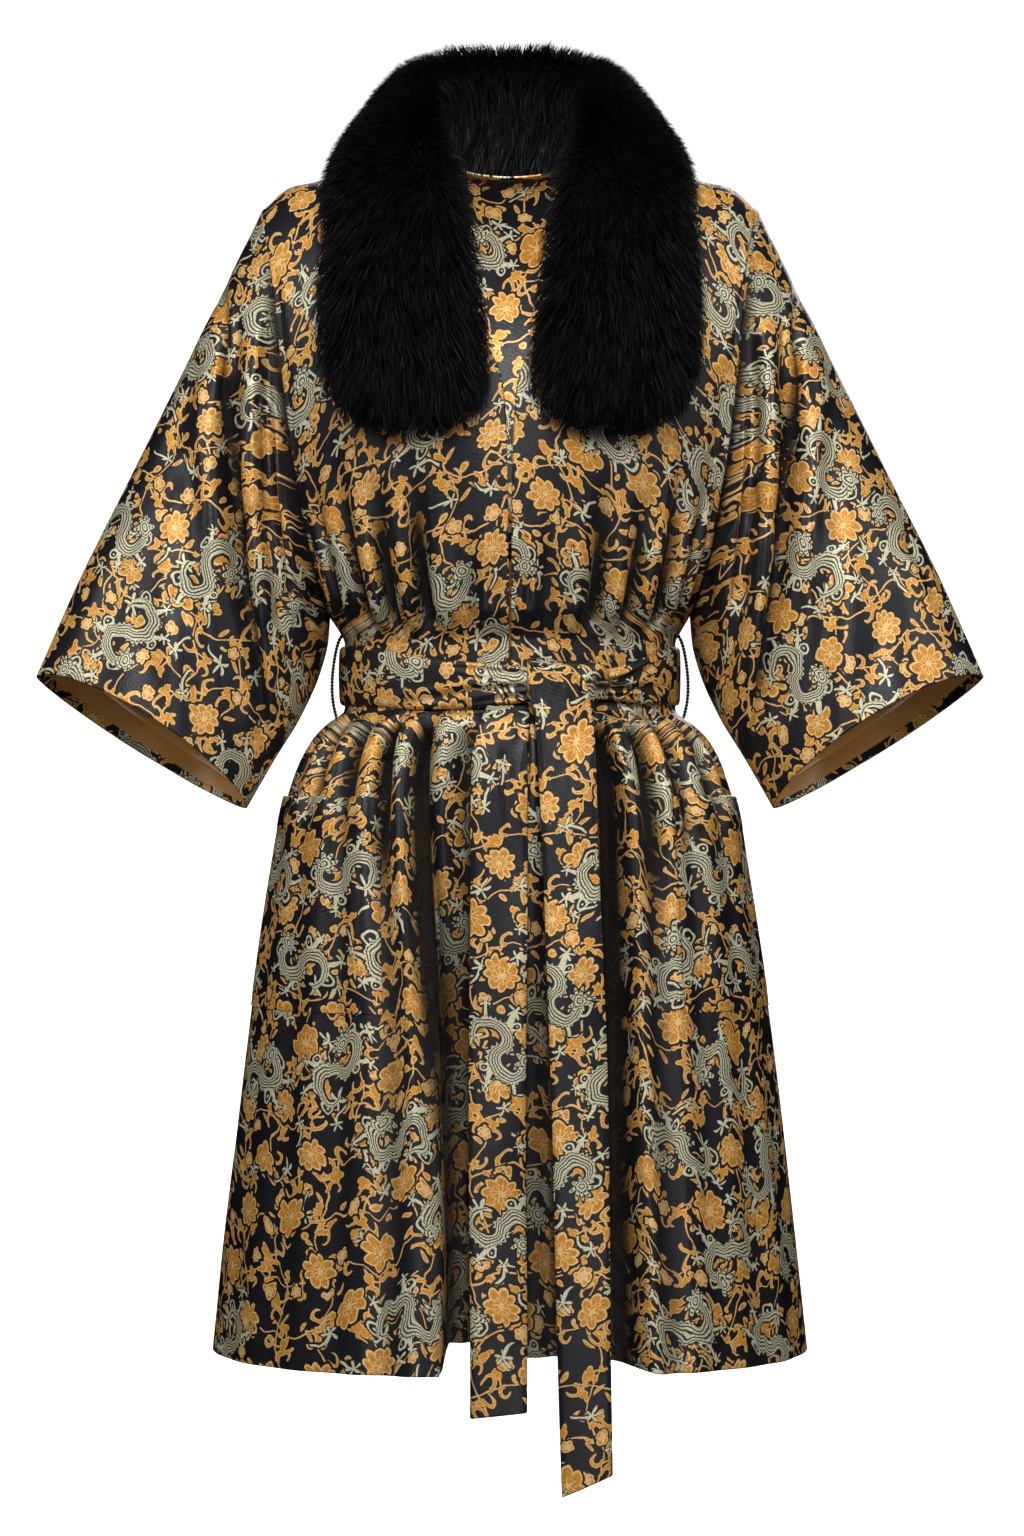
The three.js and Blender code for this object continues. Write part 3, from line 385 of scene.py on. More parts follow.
def sleeve_form(turn, at):
    value = {name: SLEEVE.at(name, at) for name in SLEEVE.columns}
    down = (1 - np.cos(turn)) / 2
    front = np.sin(turn) >= 0
    face = np.where(front, 1, -1)
    bulge = np.abs(np.sin(turn)) ** value["lens"]
    depth = bulge * np.where(front, value["front"], value["back"])
    for side, start, slope, deep, width, begin, end in SLEEVE_FOLDS:
        away = np.abs(down - (start + slope * (at - begin))) / width
        strength = smooth(begin - 0.1, begin + 0.15, at) * smooth(end + 0.15, end - 0.15, at)
        dent = deep * strength * bulge * (0.5 + 0.5 * np.cos(math.pi * np.minimum(away, 1)))
        depth = depth - np.where(face == side, dent, 0)
    top = np.stack([value["topX"], value["y"], -value["topDrop"]], axis=-1)
    low = np.stack([value["lowX"], value["y"], -value["lowDrop"]], axis=-1)
    span = low - top
    up_sleeve = unit(np.stack([span[..., 2], 0 * span[..., 0], -span[..., 0]], axis=-1))
    near_cuff = np.clip((at - CUFF_START) / (1 - CUFF_START), 0, 1) ** 2
    drawn = bulge * near_cuff * np.where(front, CUFF_UP, -CUFF_DOWN)
    p = top + span * down[..., None] + up_sleeve * drawn[..., None]
    p[..., 1] -= face * depth
    return p


def sleeve_surface(turn, at):
    up = (1 + np.cos(turn)) / 2
    is_back = np.sin(turn) < 0
    hole = np.where(is_back[..., None], armhole_point(up, True), armhole_point(up, False))
    hole[..., 0] += SEAM
    from_form = hole - sleeve_form(turn, np.zeros_like(turn))
    return sleeve_form(turn, at) + from_form * (1 - smooth(0, SLEEVE_JOIN, at))[..., None]


def armhole_outward(turn):
    up = (1 + np.cos(turn)) / 2
    is_back = np.sin(turn) < 0
    high, low = np.minimum(1, up + 0.004), np.maximum(0, up - 0.004)
    way = np.where(
        is_back[..., None],
        armhole_point(high, True) - armhole_point(low, True),
        armhole_point(high, False) - armhole_point(low, False),
    )
    facing = np.where(is_back, 1, -1)
    return unit(np.stack([0 * up, facing * way[..., 2], -facing * way[..., 1]], axis=-1))


def sleeve_normal(turn, at):
    free = outward(sleeve_surface, turn, at, (0.05, 0.02), (-10, 0), (10, 1))
    return unit(mix(armhole_outward(turn), free, smooth(0, 0.06, at)[..., None]))


def waist_point(turn, drop, out):
    half, front, rear = WAIST_HALF + out, WAIST_FRONT + out, WAIST_BACK + out
    ahead = np.cos(turn)
    sideways = np.sign(np.sin(turn)) * np.abs(np.sin(turn)) ** (2 / RING_SQUARE)
    forward = np.sign(ahead) * np.abs(ahead) ** (2 / RING_SQUARE)
    y = -np.where(ahead > 0, front, rear) * forward
    return np.stack(np.broadcast_arrays(half * sideways, y, -drop), axis=-1)


# Soft creases, laid over a piece in its own flat millimetres


def creases(x, y, rows):
    """Rows are x and y of both ends, then the depth, the width and how far the middle bends aside."""
    out = np.zeros(np.broadcast(x, y).shape)
    for x0, y0, x1, y1, deep, width, bend in rows:
        long = math.hypot(x1 - x0, y1 - y0)
        dx, dy = (x1 - x0) / long, (y1 - y0) / long
        t = ((x - x0) * dx + (y - y0) * dy) / long
        on = np.clip(t, 0, 1)
        aside = (x - x0) * dy - (y - y0) * dx - bend * 4 * on * (1 - on)
        beside = np.exp(-((np.abs(aside) - 1.8 * width) / width) ** 2)
        profile = np.exp(-(aside / width) ** 2) - 0.4 * beside
        out -= deep * profile * np.sin(math.pi * on ** 0.6) * ((t > 0) & (t < 1))
    return out


def belt_gathers(seed, wide, count):
    """Short uneven creases that run out of the belt, up the bodice and down the skirt."""
    pick = np.random.default_rng(seed)
    rows = []
    for k in range(count):
        x = (k + pick.uniform(0.1, 0.9)) * wide / count
        for start, way in ((BELT_TOP - 9, -1), (BELT_BOTTOM + 9, 1)):
            x += pick.uniform(-6, 6)
            long = pick.uniform(35, 105)
            lean = pick.uniform(-10, 10)
            deep = pick.uniform(0.8, 2.6)
            width, bend = pick.uniform(3.5, 7), pick.uniform(-4, 4)
            rows.append((x, start, x + lean, start + way * long, deep, width, bend))
    return rows


def drape(seed, wide, tall, count, deep):
    """Long, faint, nearly upright undulations that break up the smooth parts."""
    pick = np.random.default_rng(seed)
    rows = []
    for _ in range(count):
        x, y = pick.uniform(0, wide), pick.uniform(0, tall)
        long = pick.uniform(0.15, 0.4) * tall
        lean = pick.uniform(-0.18, 0.18) * long
        share, width, bend = pick.uniform(0.5, 1.3), pick.uniform(9, 18), pick.uniform(-9, 9)
        rows.append((x, y, x + lean, y + long, deep * share, width, bend))
    return rows


# Closed cloth shells from two grids of points


def run(grid, axis):
    """Lengths along the rows or columns of a grid, from its first point."""
    step = np.linalg.norm(np.diff(grid, axis=axis), axis=-1)
    start = np.zeros_like(np.take(step, [0], axis=axis))
    return np.concatenate([start, np.cumsum(step, axis=axis)], axis=axis)


class Mesh:
    """Collects quads with their flat places and slots, then makes one object."""

    def __init__(self):
        self.points, self.faces, self.flats, self.slots, self.used = [], [], [], [], 0
        self.shades = []

    def put(self, points, shade=0.0):
        points = np.asarray(points, float).reshape(-1, 3)
        self.points.append(points)
        self.shades.append(np.broadcast_to(np.ravel(shade), len(points)))
        self.used += len(points)
        return np.arange(self.used - len(points), self.used)

    def quads(self, corners, flats, slot):
        """corners: (n, 4) point numbers. flats: (n, 4, 2). slot: one number, or one for each."""
        self.faces.append(corners)
        self.flats.append(flats)
        self.slots.append(np.broadcast_to(slot, len(corners)))

    def make(self, name, materials):
        points = np.concatenate(self.points) * MM
        faces, flats = np.concatenate(self.faces), np.concatenate(self.flats) * MM
        slots = np.concatenate(self.slots)
        mesh = bpy.data.meshes.new(name)
        mesh.vertices.add(len(points))
        mesh.vertices.foreach_set("co", points.astype(np.float32).ravel())
        mesh.loops.add(faces.size)
        mesh.loops.foreach_set("vertex_index", faces.astype(np.int32).ravel())
        mesh.polygons.add(len(faces))
        mesh.polygons.foreach_set("loop_start", np.arange(0, faces.size, faces.shape[1], dtype=np.int32))
        mesh.polygons.foreach_set("material_index", slots.astype(np.int32))
        mesh.polygons.foreach_set("use_smooth", np.ones(len(faces), bool))
        layer = mesh.uv_layers.new(name="flat")
        layer.data.foreach_set("uv", flats.astype(np.float32).ravel())
        # The shade attribute carries each point's painted shade for the brocade's colour.
        shade = mesh.attributes.new("shade", "FLOAT", "POINT")
        shade.data.foreach_set("value", np.concatenate(self.shades).astype(np.float32))
        for material in materials:
            mesh.materials.append(material)
        mesh.update(calc_edges=True)
        made = bpy.data.objects.new(name, mesh)
        bpy.context.scene.collection.objects.link(made)
        return made


SHOULDER_LIFT = {"most": 7.5, "across": 183, "inward": 20, "outward": 15, "starts": -120, "full": -30}


def round_shoulder(points):
    """Lifts the cloth beside each shoulder point into a soft curve."""
    s = SHOULDER_LIFT
    away = np.abs(points[..., 0]) - s["across"]
    beside = np.exp(-(away / np.where(away < 0, s["inward"], s["outward"])) ** 2)
    lift = s["most"] * beside * smooth(s["starts"], s["full"], points[..., 2])
    return points + np.stack([0 * lift, 0 * lift, lift], axis=-1)


INSIDE_SHIFT = (310.0, 170.0)   # the pattern inside a piece isn't the one outside it
RIM_OUT = 0.42                  # how far a rim's middle stands out, for each unit of the wall


def shell(mesh, outer, inner, flat, ring=False, inner_slot=0, shade=0.0):
    """A wall between two grids, with a rounded rim. flat has one column more than a ring."""
    outer, inner = round_shoulder(outer), round_shoulder(inner)
    rows, cols = outer.shape[:2]
    a = mesh.put(outer, shade).reshape(rows, cols)
    b = mesh.put(inner).reshape(rows, cols)
    spans = cols if ring else cols - 1
    here = np.arange(spans)
    there = (here + 1) % cols
    first = np.cross(outer[1, 1] - outer[1, 0], outer[2, 0] - outer[1, 0])
    right_way = float(first @ (outer[1, 0] - inner[1, 0])) > 0

    def face(grid, keep, slot, shift):
        above, below = grid[:-1], grid[1:]
        corners = np.stack([above[:, here], above[:, there], below[:, there], below[:, here]], -1)
        above, below = flat[:-1], flat[1:]
        flats = np.stack([above[:, here], above[:, here + 1], below[:, here + 1], below[:, here]], 2) + shift
        if not keep:
            corners, flats = corners[..., ::-1], flats[:, :, ::-1]
        slot = slot if np.isscalar(slot) else slot.reshape(-1)
        mesh.quads(corners.reshape(-1, 4), flats.reshape(-1, 4, 2), slot)

    face(a, right_way, 0, 0.0)
    face(b, not right_way, inner_slot, np.array(INSIDE_SHIFT))

    def rim(loop, closed):
        r, c, uv_c = loop
        away = np.zeros((len(r), 3))
        away += np.where((r == 0)[:, None], outer[0, c] - outer[1, c], 0)
        away += np.where((r == rows - 1)[:, None], outer[rows - 1, c] - outer[rows - 2, c], 0)
        if not ring:
            away += np.where((c == 0)[:, None], outer[r, 0] - outer[r, 1], 0)
            away += np.where((c == cols - 1)[:, None], outer[r, cols - 1] - outer[r, cols - 2], 0)
        thick = np.linalg.norm(outer[r, c] - inner[r, c], axis=1, keepdims=True)
        middle = (outer[r, c] + inner[r, c]) / 2 + unit(away) * thick * RIM_OUT
        m = mesh.put(middle)
        k = np.arange(len(r) if closed else len(r) - 1)
        n = (k + 1) % len(r)
        uv_k, uv_n = flat[r[k], uv_c[k]], flat[r[n], np.where(n == 0, uv_c[k] + (1 if ring else 0), uv_c[n])]
        for low, high in ((a[r, c], m), (m, b[r, c])):
            corners = np.stack([low[n], low[k], high[k], high[n]], -1)
            flats = np.stack([uv_n, uv_k, uv_k, uv_n], 1)
            if not right_way:
                corners, flats = corners[:, ::-1], flats[:, ::-1]
            mesh.quads(corners, flats, 0)

    if ring:
        across = np.arange(cols)
        rim((np.zeros(cols, int), across, across), True)
        rim((np.full(cols, rows - 1), across[::-1], across[::-1]), True)
    else:
        top = np.arange(cols)
        side = np.arange(rows)
        r = np.concatenate([0 * top, side[1:], 0 * top[1:] + rows - 1, side[::-1][1:-1]])
        c = np.concatenate([top, 0 * side[1:] + cols - 1, top[::-1][1:], 0 * side[1:-1]])
        rim((r, c, c), True)


# Node helpers: maths on sockets reads as plain expressions


class Value:
    def __init__(self, finish, socket):
        self.finish, self.socket = finish, socket

    def maths(self, operation, *others):
        return self.finish.node("Math", {"operation": operation}, dict(enumerate((self, *others))))

    def __add__(self, other):
        return self.maths("ADD", other)

    def __sub__(self, other):
        return self.maths("SUBTRACT", other)

    def __mul__(self, other):
        return self.maths("MULTIPLY", other)

    def __truediv__(self, other):
        return self.maths("DIVIDE", other)

    def __pow__(self, other):
        return self.maths("POWER", other)

    def __rsub__(self, other):
        return self.finish.node("Math", {"operation": "SUBTRACT"}, {0: other, 1: self})

    def __rtruediv__(self, other):
        return self.finish.node("Math", {"operation": "DIVIDE"}, {0: other, 1: self})

    __radd__ = __add__
    __rmul__ = __mul__

    def least(self, other):
        return self.maths("MINIMUM", other)

    def most(self, other):
        return self.maths("MAXIMUM", other)

    def over(self, other):
        return self.maths("GREATER_THAN", other)

    def size(self):
        return self.maths("ABSOLUTE")

    def part(self):
        return self.maths("FRACT")

    def floor(self):
        return self.maths("FLOOR")

    def sine(self):
        return self.maths("SINE")

    def cosine(self):
        return self.maths("COSINE")

    def within(self, soft):
        """1 where this distance inside an edge is positive, with a soft edge."""
        settings = {"interpolation_type": "SMOOTHSTEP"}
        return self.finish.node("MapRange", settings, {"Value": self, "From Min": -soft, "From Max": soft})


class Finish:
    """A material under construction."""

    def __init__(self, name):
        self.material = bpy.data.materials.new(name)
        self.material.use_nodes = True
        self.nodes = self.material.node_tree.nodes
        self.links = self.material.node_tree.links
        self.shader = self.nodes["Principled BSDF"]

    def node(self, kind, settings=None, inputs=None, output=0):
        made = self.nodes.new("ShaderNode" + kind)
        for name, value in (settings or {}).items():
            setattr(made, name, value)
        for name, value in (inputs or {}).items():
            self.feed(made.inputs[name], value)
        return Value(self, made.outputs[output])

    def outputs(self, value):
        return [Value(self, socket) for socket in value.socket.node.outputs]

    def feed(self, socket, value):
        if isinstance(value, Value):
            self.links.new(value.socket, socket)
        elif isinstance(value, tuple) and socket.type == "RGBA" and len(value) == 3:
            socket.default_value = (*value, 1)
        else:
            socket.default_value = value

    def set(self, **inputs):
        for name, value in inputs.items():
            self.feed(self.shader.inputs[name.replace("_", " ")], value)

    def blend(self, share, low, high):
        """A colour between two."""
        settings = {"data_type": "RGBA", "clamp_factor": True}
        return self.node("Mix", settings, {0: share, 6: low, 7: high}, 2)

    def cloud(self, vector, scale, detail, output=0):
        """Soft noise on the flat cloth."""
        inputs = {"Vector": vector, "Scale": scale, "Detail": detail}
        return self.node("TexNoise", {"noise_dimensions": "2D"}, inputs, output)

    def flat(self):
        """The place on the flat cloth, in millimetres."""
        uv = self.node("UVMap", {"uv_map": "flat"})
        split = self.outputs(self.node("SeparateXYZ", None, {0: uv}))
        return split[0] * 1000, split[1] * 1000


def distance(x, y):
    return (x * x + y * y) ** 0.5


class Motifs:
    """Woven figures, drawn from distances in millimetres on the flat cloth."""

    def __init__(self, finish):
        self.f = finish

    def lattice(self, u, v, wide, tall, jitter, seed):
        """Places in a half-drop repeat. Gives the local place and four random numbers for each cell."""
        row = (v / tall + seed * 0.37).floor()
        line = v / tall + seed * 0.37 - row
        across = u / wide + (row * 0.5).part() + seed * 0.61
        column = across.floor()
        cell = self.f.node("CombineXYZ", None, {0: column + seed * 11.0, 1: row + seed * 5.0})
        noise = self.f.node("TexWhiteNoise", {"noise_dimensions": "2D"}, {"Vector": cell})
        value, colour = self.f.outputs(noise)
        a, b, c = self.f.outputs(self.f.node("SeparateColor", None, {0: colour}))[:3]
        x = (across - column - 0.5) * wide - (a - 0.5) * (2 * jitter)
        y = (line - 0.5) * tall - (b - 0.5) * (2 * jitter)
        return x, y, (value, a, b, c)

    def turned(self, x, y, angle):
        c, s = angle.cosine(), angle.sine()
        return x * c + y * s, y * c - x * s

    def flower(self, x, y, radius, petals, angle):
        """Rounded petals with pale edges, rings of stitches and a star of pale lines at the middle."""
        r = distance(x, y)
        turned = y.maths("ARCTAN2", x) + angle
        around = ((turned * petals / (2 * math.pi)).part() - 0.5) * (2 * math.pi) / petals
        out, aside = r * around.cosine(), r * around.sine()
        half = (math.pi / petals).sine() * radius * 0.76
        petal = (1 - distance((out - radius * 0.62) / (radius * 0.38), aside / half)) * half
        core = radius * 0.46 - r
        inside = petal.most(core)
        pale = (0.5 - (inside - 0.75).size()).within(0.3)
        star = (0.42 - aside.size()).within(0.3) * (radius * 0.52 - r).within(0.6)
        heart = (0.4 - (r - radius * 0.13).size()).within(0.3)
        between = 1 - (aside.size() / (half * 0.95)).least(1)
        split = (0.25 - between).within(0.12) * (radius * 0.4 - r).size().within(0.6) * 0.5
        rings = ((inside / 1.75 + 0.3).part() - 0.5).size() * 2
        return inside, pale.most(star).most(heart), rings.most(split)

    def arc(self, x, y, centre, radius, start, extent, width, clockwise=1):
        """A bent strip that tapers to its end. Gives how far inside it, across it and along it a place is."""
        px, py = x - centre[0], y - centre[1]
        way = clockwise / (2 * math.pi)
        around = (py.maths("ARCTAN2", px) * -way + start * clockwise / (2 * math.pi)).part()
        along = around * (2 * math.pi)
        across = distance(px, py) - radius
        left = (1 - along / extent).most(0)
        return left, across, along * radius, width

    def strip(self, arc, blunt, fringe):
        left, across, along, width = arc
        spike = (((along / 3.1).part() - 0.5).size() * 2) * fringe * across.over(0)
        body = (width + spike) * left ** blunt
        return (body - across.size()).least(left * 60 - 0.4)

    def limb(self, x, y, start, end, width):
        """A straight leg with a claw of five rays."""
        dx, dy = end[0] - start[0], end[1] - start[1]
        square = dx * dx + dy * dy
        px, py = x - start[0], y - start[1]
        on = ((px * dx + py * dy) / square).most(0).least(1)
        leg = width * (1.35 - on * 0.6) - distance(px - on * dx, py - on * dy)
        return leg.most(self.claw(x - end[0], y - end[1], 5.6))

    def claw(self, x, y, long):
        ray = (y.maths("ARCTAN2", x) * 2.5).cosine().size()
        return ray ** 3.0 * long - distance(x, y)

    def dragon(self, x, y, numbers):
        """A curling body in rows of stitches, with a spiny back, four legs and curls. A design of its own."""
        x, y = self.turned(x, y, numbers[3] * (2 * math.pi))
        y = y * (numbers[1].over(0.5) * 2 - 1)
        bend = 12.5
        head = self.arc(x, y, (bend, 0), bend, math.pi, 4.1, 5.4)
        tail = self.arc(x, y, (-bend, 0), bend, 0.0, 4.6, 5.0)
        head_in, tail_in = self.strip(head, 0.25, 2.4), self.strip(tail, 0.5, 2.4)
        face_x, face_y = x - 20.5, y + 9.5
        face_r = distance(face_x / 1.25, face_y)
        mane = ((face_y.maths("ARCTAN2", face_x) * 4.5).cosine().size() ** 1.6 * 4.4 + 4.6 - face_r) * 0.8
        side = x.over(0) * 2 - 1
        fx, fy = x.size(), y * side
        legs = self.limb(fx, fy, (8, 14), (13, 28), 1.7).most(self.limb(fx, fy, (22, 7), (34, 15), 1.6))
        curl_r = distance(fx - 29, fy + 4)
        curl = (0.85 - (curl_r - 4.9).size()).most(1.1 - curl_r)
        other_r = distance(fx - 4, fy - 20)
        curl = curl.most(0.8 - (other_r - 3.4).size()).most(0.8 - other_r)
        flame = self.claw(x + 19, y - 11, 9.0)
        inside = head_in.most(tail_in).most(legs).most(curl).most(mane).most(flame)
        on_head = head_in.over(tail_in)
        on_face = mane.over(0.1)
        across = tail[1] + (head[1] - tail[1]) * on_head
        along = tail[2] + (head[2] - tail[2]) * on_head
        across = across + (face_r - across) * on_face
        rows = across / 2.35
        beads = (along / 3.0 + (rows.floor() * 0.5).part()).part()
        beads = ((beads - 0.5).size() * 2) ** 5 * (1 - on_face) * 0.8
        gaps = ((rows.part() - 0.5).size() * 2).most(beads)
        on_body = head_in.most(tail_in).most(mane).over(0)
        return inside, gaps * on_body

    def wing(self, x, y, numbers):
        """A small fan of parallel strands, or a star claw with a tail."""
        x, y = self.turned(x, y, numbers[3] * (2 * math.pi))
        bend = x + y * y * 0.03
        fan = (4.6 + (bend * 1.35).cosine() * 1.3 - distance(bend * 0.72, y * 0.66)) * 0.9
        star = self.claw(x, y - 3, 7.0).most((1.0 - bend.size()).least(9 - (y + 5).size()))
        pick = numbers[1].over(0.55)
        return star + (fan - star) * pick, ((bend / 2.3).part() - 0.5).size() * 2 * pick

    def vine(self, u, v, seed):
        """A stem that runs on in waves, with curled leaves, buds and trefoils beside it."""
        pitch, tall, wave = 37.0, 43.0, 6.5
        bend = (u * (2 * math.pi / (pitch * 2)) + seed).sine() * wave
        line = (v + bend) / tall + seed * 0.29
        row = line.floor()
        off = (line - row - 0.5) * tall
        stem = 0.7 - off.size()
        step = u / pitch + (row * 0.5).part() + seed * 0.17
        column = step.floor()
        x = (step - column - 0.5) * pitch
        cell = self.f.node("CombineXYZ", None, {0: column + seed * 3.0, 1: row + seed * 7.0})
        noise = self.f.node("TexWhiteNoise", {"noise_dimensions": "2D"}, {"Vector": cell})
        value, colour = self.f.outputs(noise)
        more = self.f.outputs(self.f.node("SeparateColor", None, {0: colour}))
        way = value.over(0.5) * 2 - 1
        y = off * way
        curl = self.strip(self.arc(x, y, (-5.4, 5.3), 5.1, -math.pi / 2, 4.5, 2.1, -1), 0.3, 0)
        other = self.strip(self.arc(x, y, (8.0, -4.8), 4.6, math.pi / 2, 4.3, 1.9, -1), 0.3, 0)
        bud_x, bud_y = x - 3.5, y - 9.5
        lobes = (bud_y.maths("ARCTAN2", bud_x) * 1.5 + more[0] * 6).cosine().size() * 2.6
        bud = 2.6 - (distance(bud_x, bud_y) - lobes)
        stalk = (0.7 - (bud_x * 0.9 + bud_y * 0.1).size()).least(4.6 - (y - 4.6).size())
        far_x, far_y = x + 12.5, y + 6.5
        leaf = (1 - distance((far_x + far_y) / 3.0, (far_y - far_x) / 6.4)) * 2.2
        return stem.most(curl).most(other).most(bud).most(stalk).most(leaf)


# How many of the places in each repeat are filled, the colours of the thread, and the near-black of the
# painted shade

DRAGON_SHARE = 0.66
FLOWER_SHARE = 0.71
BIT_SHARE = 0.42
BLOSSOM_SHARE = 0.44
WEAVE_SWAY = 9
BLACK, BLACK_LIT = (0.0048, 0.0050, 0.0066), (0.0092, 0.0095, 0.0118)
ORANGE, ORANGE_LIT, ORANGE_GAP = (0.29, 0.104, 0.008), (0.76, 0.36, 0.048), (0.18, 0.058, 0.005)
PALE_GOLD = (0.78, 0.56, 0.27)
SILVER_GREEN, SILVER_GREEN_LIT, SILVER_GAP = (0.33, 0.315, 0.19), (0.74, 0.70, 0.50), (0.016, 0.015, 0.010)
# Near-black painted shade, blended into the brocade's colour where the shade attribute is high.
PAINTED_SHADE = (0.0030, 0.0021, 0.0013)   # the cloth deep in a fold
BRONZE, BRONZE_LIT, BRONZE_SLUB = (0.28, 0.112, 0.020), (0.62, 0.28, 0.062), (0.78, 0.44, 0.14)


def brocade(name):
    """Black satin ground with raised orange-gold flowers, vines and silver-green dragons, with painted shade
    in its folds.
    """
    f = Finish(name)
    m = Motifs(f)
    u, v = f.flat()
    place = f.node("CombineXYZ", None, {0: u, 1: v})
    sway = f.cloud(place, 0.05, 1.0, 1)
    sway_u, sway_v = f.outputs(f.node("SeparateColor", None, {0: sway}))[:2]
    u2, v2 = u + (sway_u - 0.5) * WEAVE_SWAY, v + (sway_v - 0.5) * WEAVE_SWAY

    x, y, large = m.lattice(u2, v2, 88.0, 71.0, 2.0, 1.0)
    dragon_in, dragon_gap = m.dragon(x, y, large)
    dragon_in = dragon_in - large[0].over(DRAGON_SHARE) * 100
    no_dragon = 1 - (dragon_in + 1.6).within(0.4)

    x, y, middle = m.lattice(u2, v2, 53.0, 44.0, 3.5, 4.0)
    petals = (middle[3] * 3.9 + 6).floor()
    flower_in, flower_pale, flower_gap = m.flower(x, y, 13 + middle[1] ** 2.0 * 7.5, petals, middle[2] * 6)
    left_out = middle[0].over(FLOWER_SHARE)
    relief = (flower_in - left_out * 100).within(0.25) * 0.7 - flower_gap * 0.2
    flower_in = flower_in - (left_out + 1 - no_dragon) * 100
    no_flower = 1 - (flower_in + 1.4).within(0.4)

    sx, sy, small = m.lattice(u2, v2, 29.0, 26.0, 3.6, 2.0)
    small_petals = (small[3] * 2.9 + 4).floor()
    small_in, small_pale, small_gap = m.flower(sx, sy, 5.2 + small[1] * 3.8, small_petals, small[2] * 6)
    bx, by, bits = m.lattice(u2, v2, 37.0, 33.0, 4.0, 3.0)
    bit_in, bit_gap = m.wing(bx, by, bits)
    vines = m.vine(u2, v2, 0.6).most(m.vine(v2 + 13, u2, 1.7))

    free = no_dragon * no_flower
    bit_in = bit_in - (bits[0].over(BIT_SHARE) + 1 - free) * 100
    free = free * (1 - (bit_in + 1.3).within(0.4))
    small_in = small_in - (small[0].over(BLOSSOM_SHARE) + 1 - free) * 100
    free = free * (1 - (small_in + 1.1).within(0.4))
    vines = vines - (1 - free) * 100

    edge = 0.25
    on_flower, on_small, on_vine = flower_in.within(edge), small_in.within(edge), vines.within(edge)
    gold = on_flower.most(on_small).most(on_vine)
    silver = dragon_in.most(bit_in).within(edge)
    vine_pale = (0.42 - (vines - 0.55).size()).within(0.3) * 0.75
    pale = (flower_pale * on_flower).most(small_pale * on_small).most(vine_pale)
    gap = flower_gap * on_flower + small_gap * on_small
    silver_gap = dragon_gap * dragon_in.within(edge) + bit_gap * bit_in.within(edge)
    rim = (dragon_in.most(bit_in) + 0.1).within(0.5) * (0.9 - dragon_in.most(bit_in)).within(0.3)

    stitch_place = f.node("CombineXYZ", None, {0: u * 0.7, 1: v * 1.4})
    stitch = f.cloud(stitch_place, 0.9, 2.0)
    cloud = f.cloud(place, 0.018, 2.0)
    twill = ((u * 0.9 + v * 1.6).sine() * 0.5 + 0.5)

    ground = f.blend(cloud, BLACK, BLACK_LIT)
    orange = f.blend(stitch * 1.9 - 0.45, ORANGE, ORANGE_LIT)
    orange = f.blend(gap ** 3.0 * 0.55, orange, ORANGE_GAP)
    orange = f.blend(pale * (stitch * 0.8 + 0.3), orange, PALE_GOLD)
    strand = f.blend(stitch * 1.9 - 0.45, SILVER_GREEN, SILVER_GREEN_LIT)
    green = f.blend((silver_gap * 2.4 - 0.85) * (1 - rim * 0.8), strand, SILVER_GAP)
    colour = f.blend(silver, f.blend(gold, ground, orange), green)
    # Painted shade: each point's shade value blends the colour towards the near-black painted-shade colour in
    # fold valleys, the fronts' recess, the armhole seams and the belt's pleats and knot rolls, and makes the
    # cloth rougher and less metallic there.
    shade = f.node("Attribute", {"attribute_name": "shade"}, None, 2)
    colour = f.blend(shade * 0.985, colour, PAINTED_SHADE)
    raised = gold.most(silver)
    height = relief + stitch * 0.6 + twill * 0.10
    bump = f.node("Bump", None, {"Strength": 0.6, "Distance": 0.00045, "Height": height})
    f.set(
        Base_Color=colour,
        Roughness=0.33 + raised * 0.08 + stitch * 0.08 + shade * 0.55,
        Metallic=raised * 0.3 * (1 - shade),
        Normal=bump,
        Specular_IOR_Level=0.26,
    )
    return f.material


def satin(name):
    """Bronze lining satin with a fine cross sheen."""
    f = Finish(name)
    u, v = f.flat()
    place = f.node("CombineXYZ", None, {0: u * 0.02, 1: v * 0.05})
    cloud = f.cloud(place, 1.0, 3.0)
    thread = (u * 5.0).sine() * 0.5 + 0.5
    slub = f.cloud(f.node("CombineXYZ", None, {0: u * 1.2, 1: v * 0.08}), 1.0, 2.0)
    colour = f.blend(cloud, BRONZE, BRONZE_LIT)
    colour = f.blend(slub * 0.35, colour, BRONZE_SLUB)
    bump = f.node("Bump", None, {"Strength": 0.25, "Distance": 0.0003, "Height": thread * 0.3 + slub})
    f.set(Base_Color=colour, Roughness=0.27 + cloud * 0.12, Normal=bump, Sheen_Weight=0.1)
    return f.material


def fur(name):
    f = Finish(name)
    tone = f.node("Attribute", {"attribute_name": "tone"}, None, 2)
    colour = f.blend(tone, (0.0010, 0.0010, 0.0012), (0.0036, 0.0036, 0.0040))
    f.set(Base_Color=colour, Roughness=0.55 - tone * 0.1, Specular_IOR_Level=0.1)
    return f.material


def pelt(name):
    f = Finish(name)
    where = f.node("TexCoord", None, None, 3)
    nap = f.node("TexNoise", None, {"Vector": where, "Scale": 420.0, "Detail": 2.0})
    bump = f.node("Bump", None, {"Strength": 0.8, "Distance": 0.002, "Height": nap})
    colour = f.blend(nap, (0.0006, 0.0006, 0.0007), (0.0020, 0.0020, 0.0022))
    f.set(Base_Color=colour, Roughness=0.9, Normal=bump, Specular_IOR_Level=0.1)
    return f.material


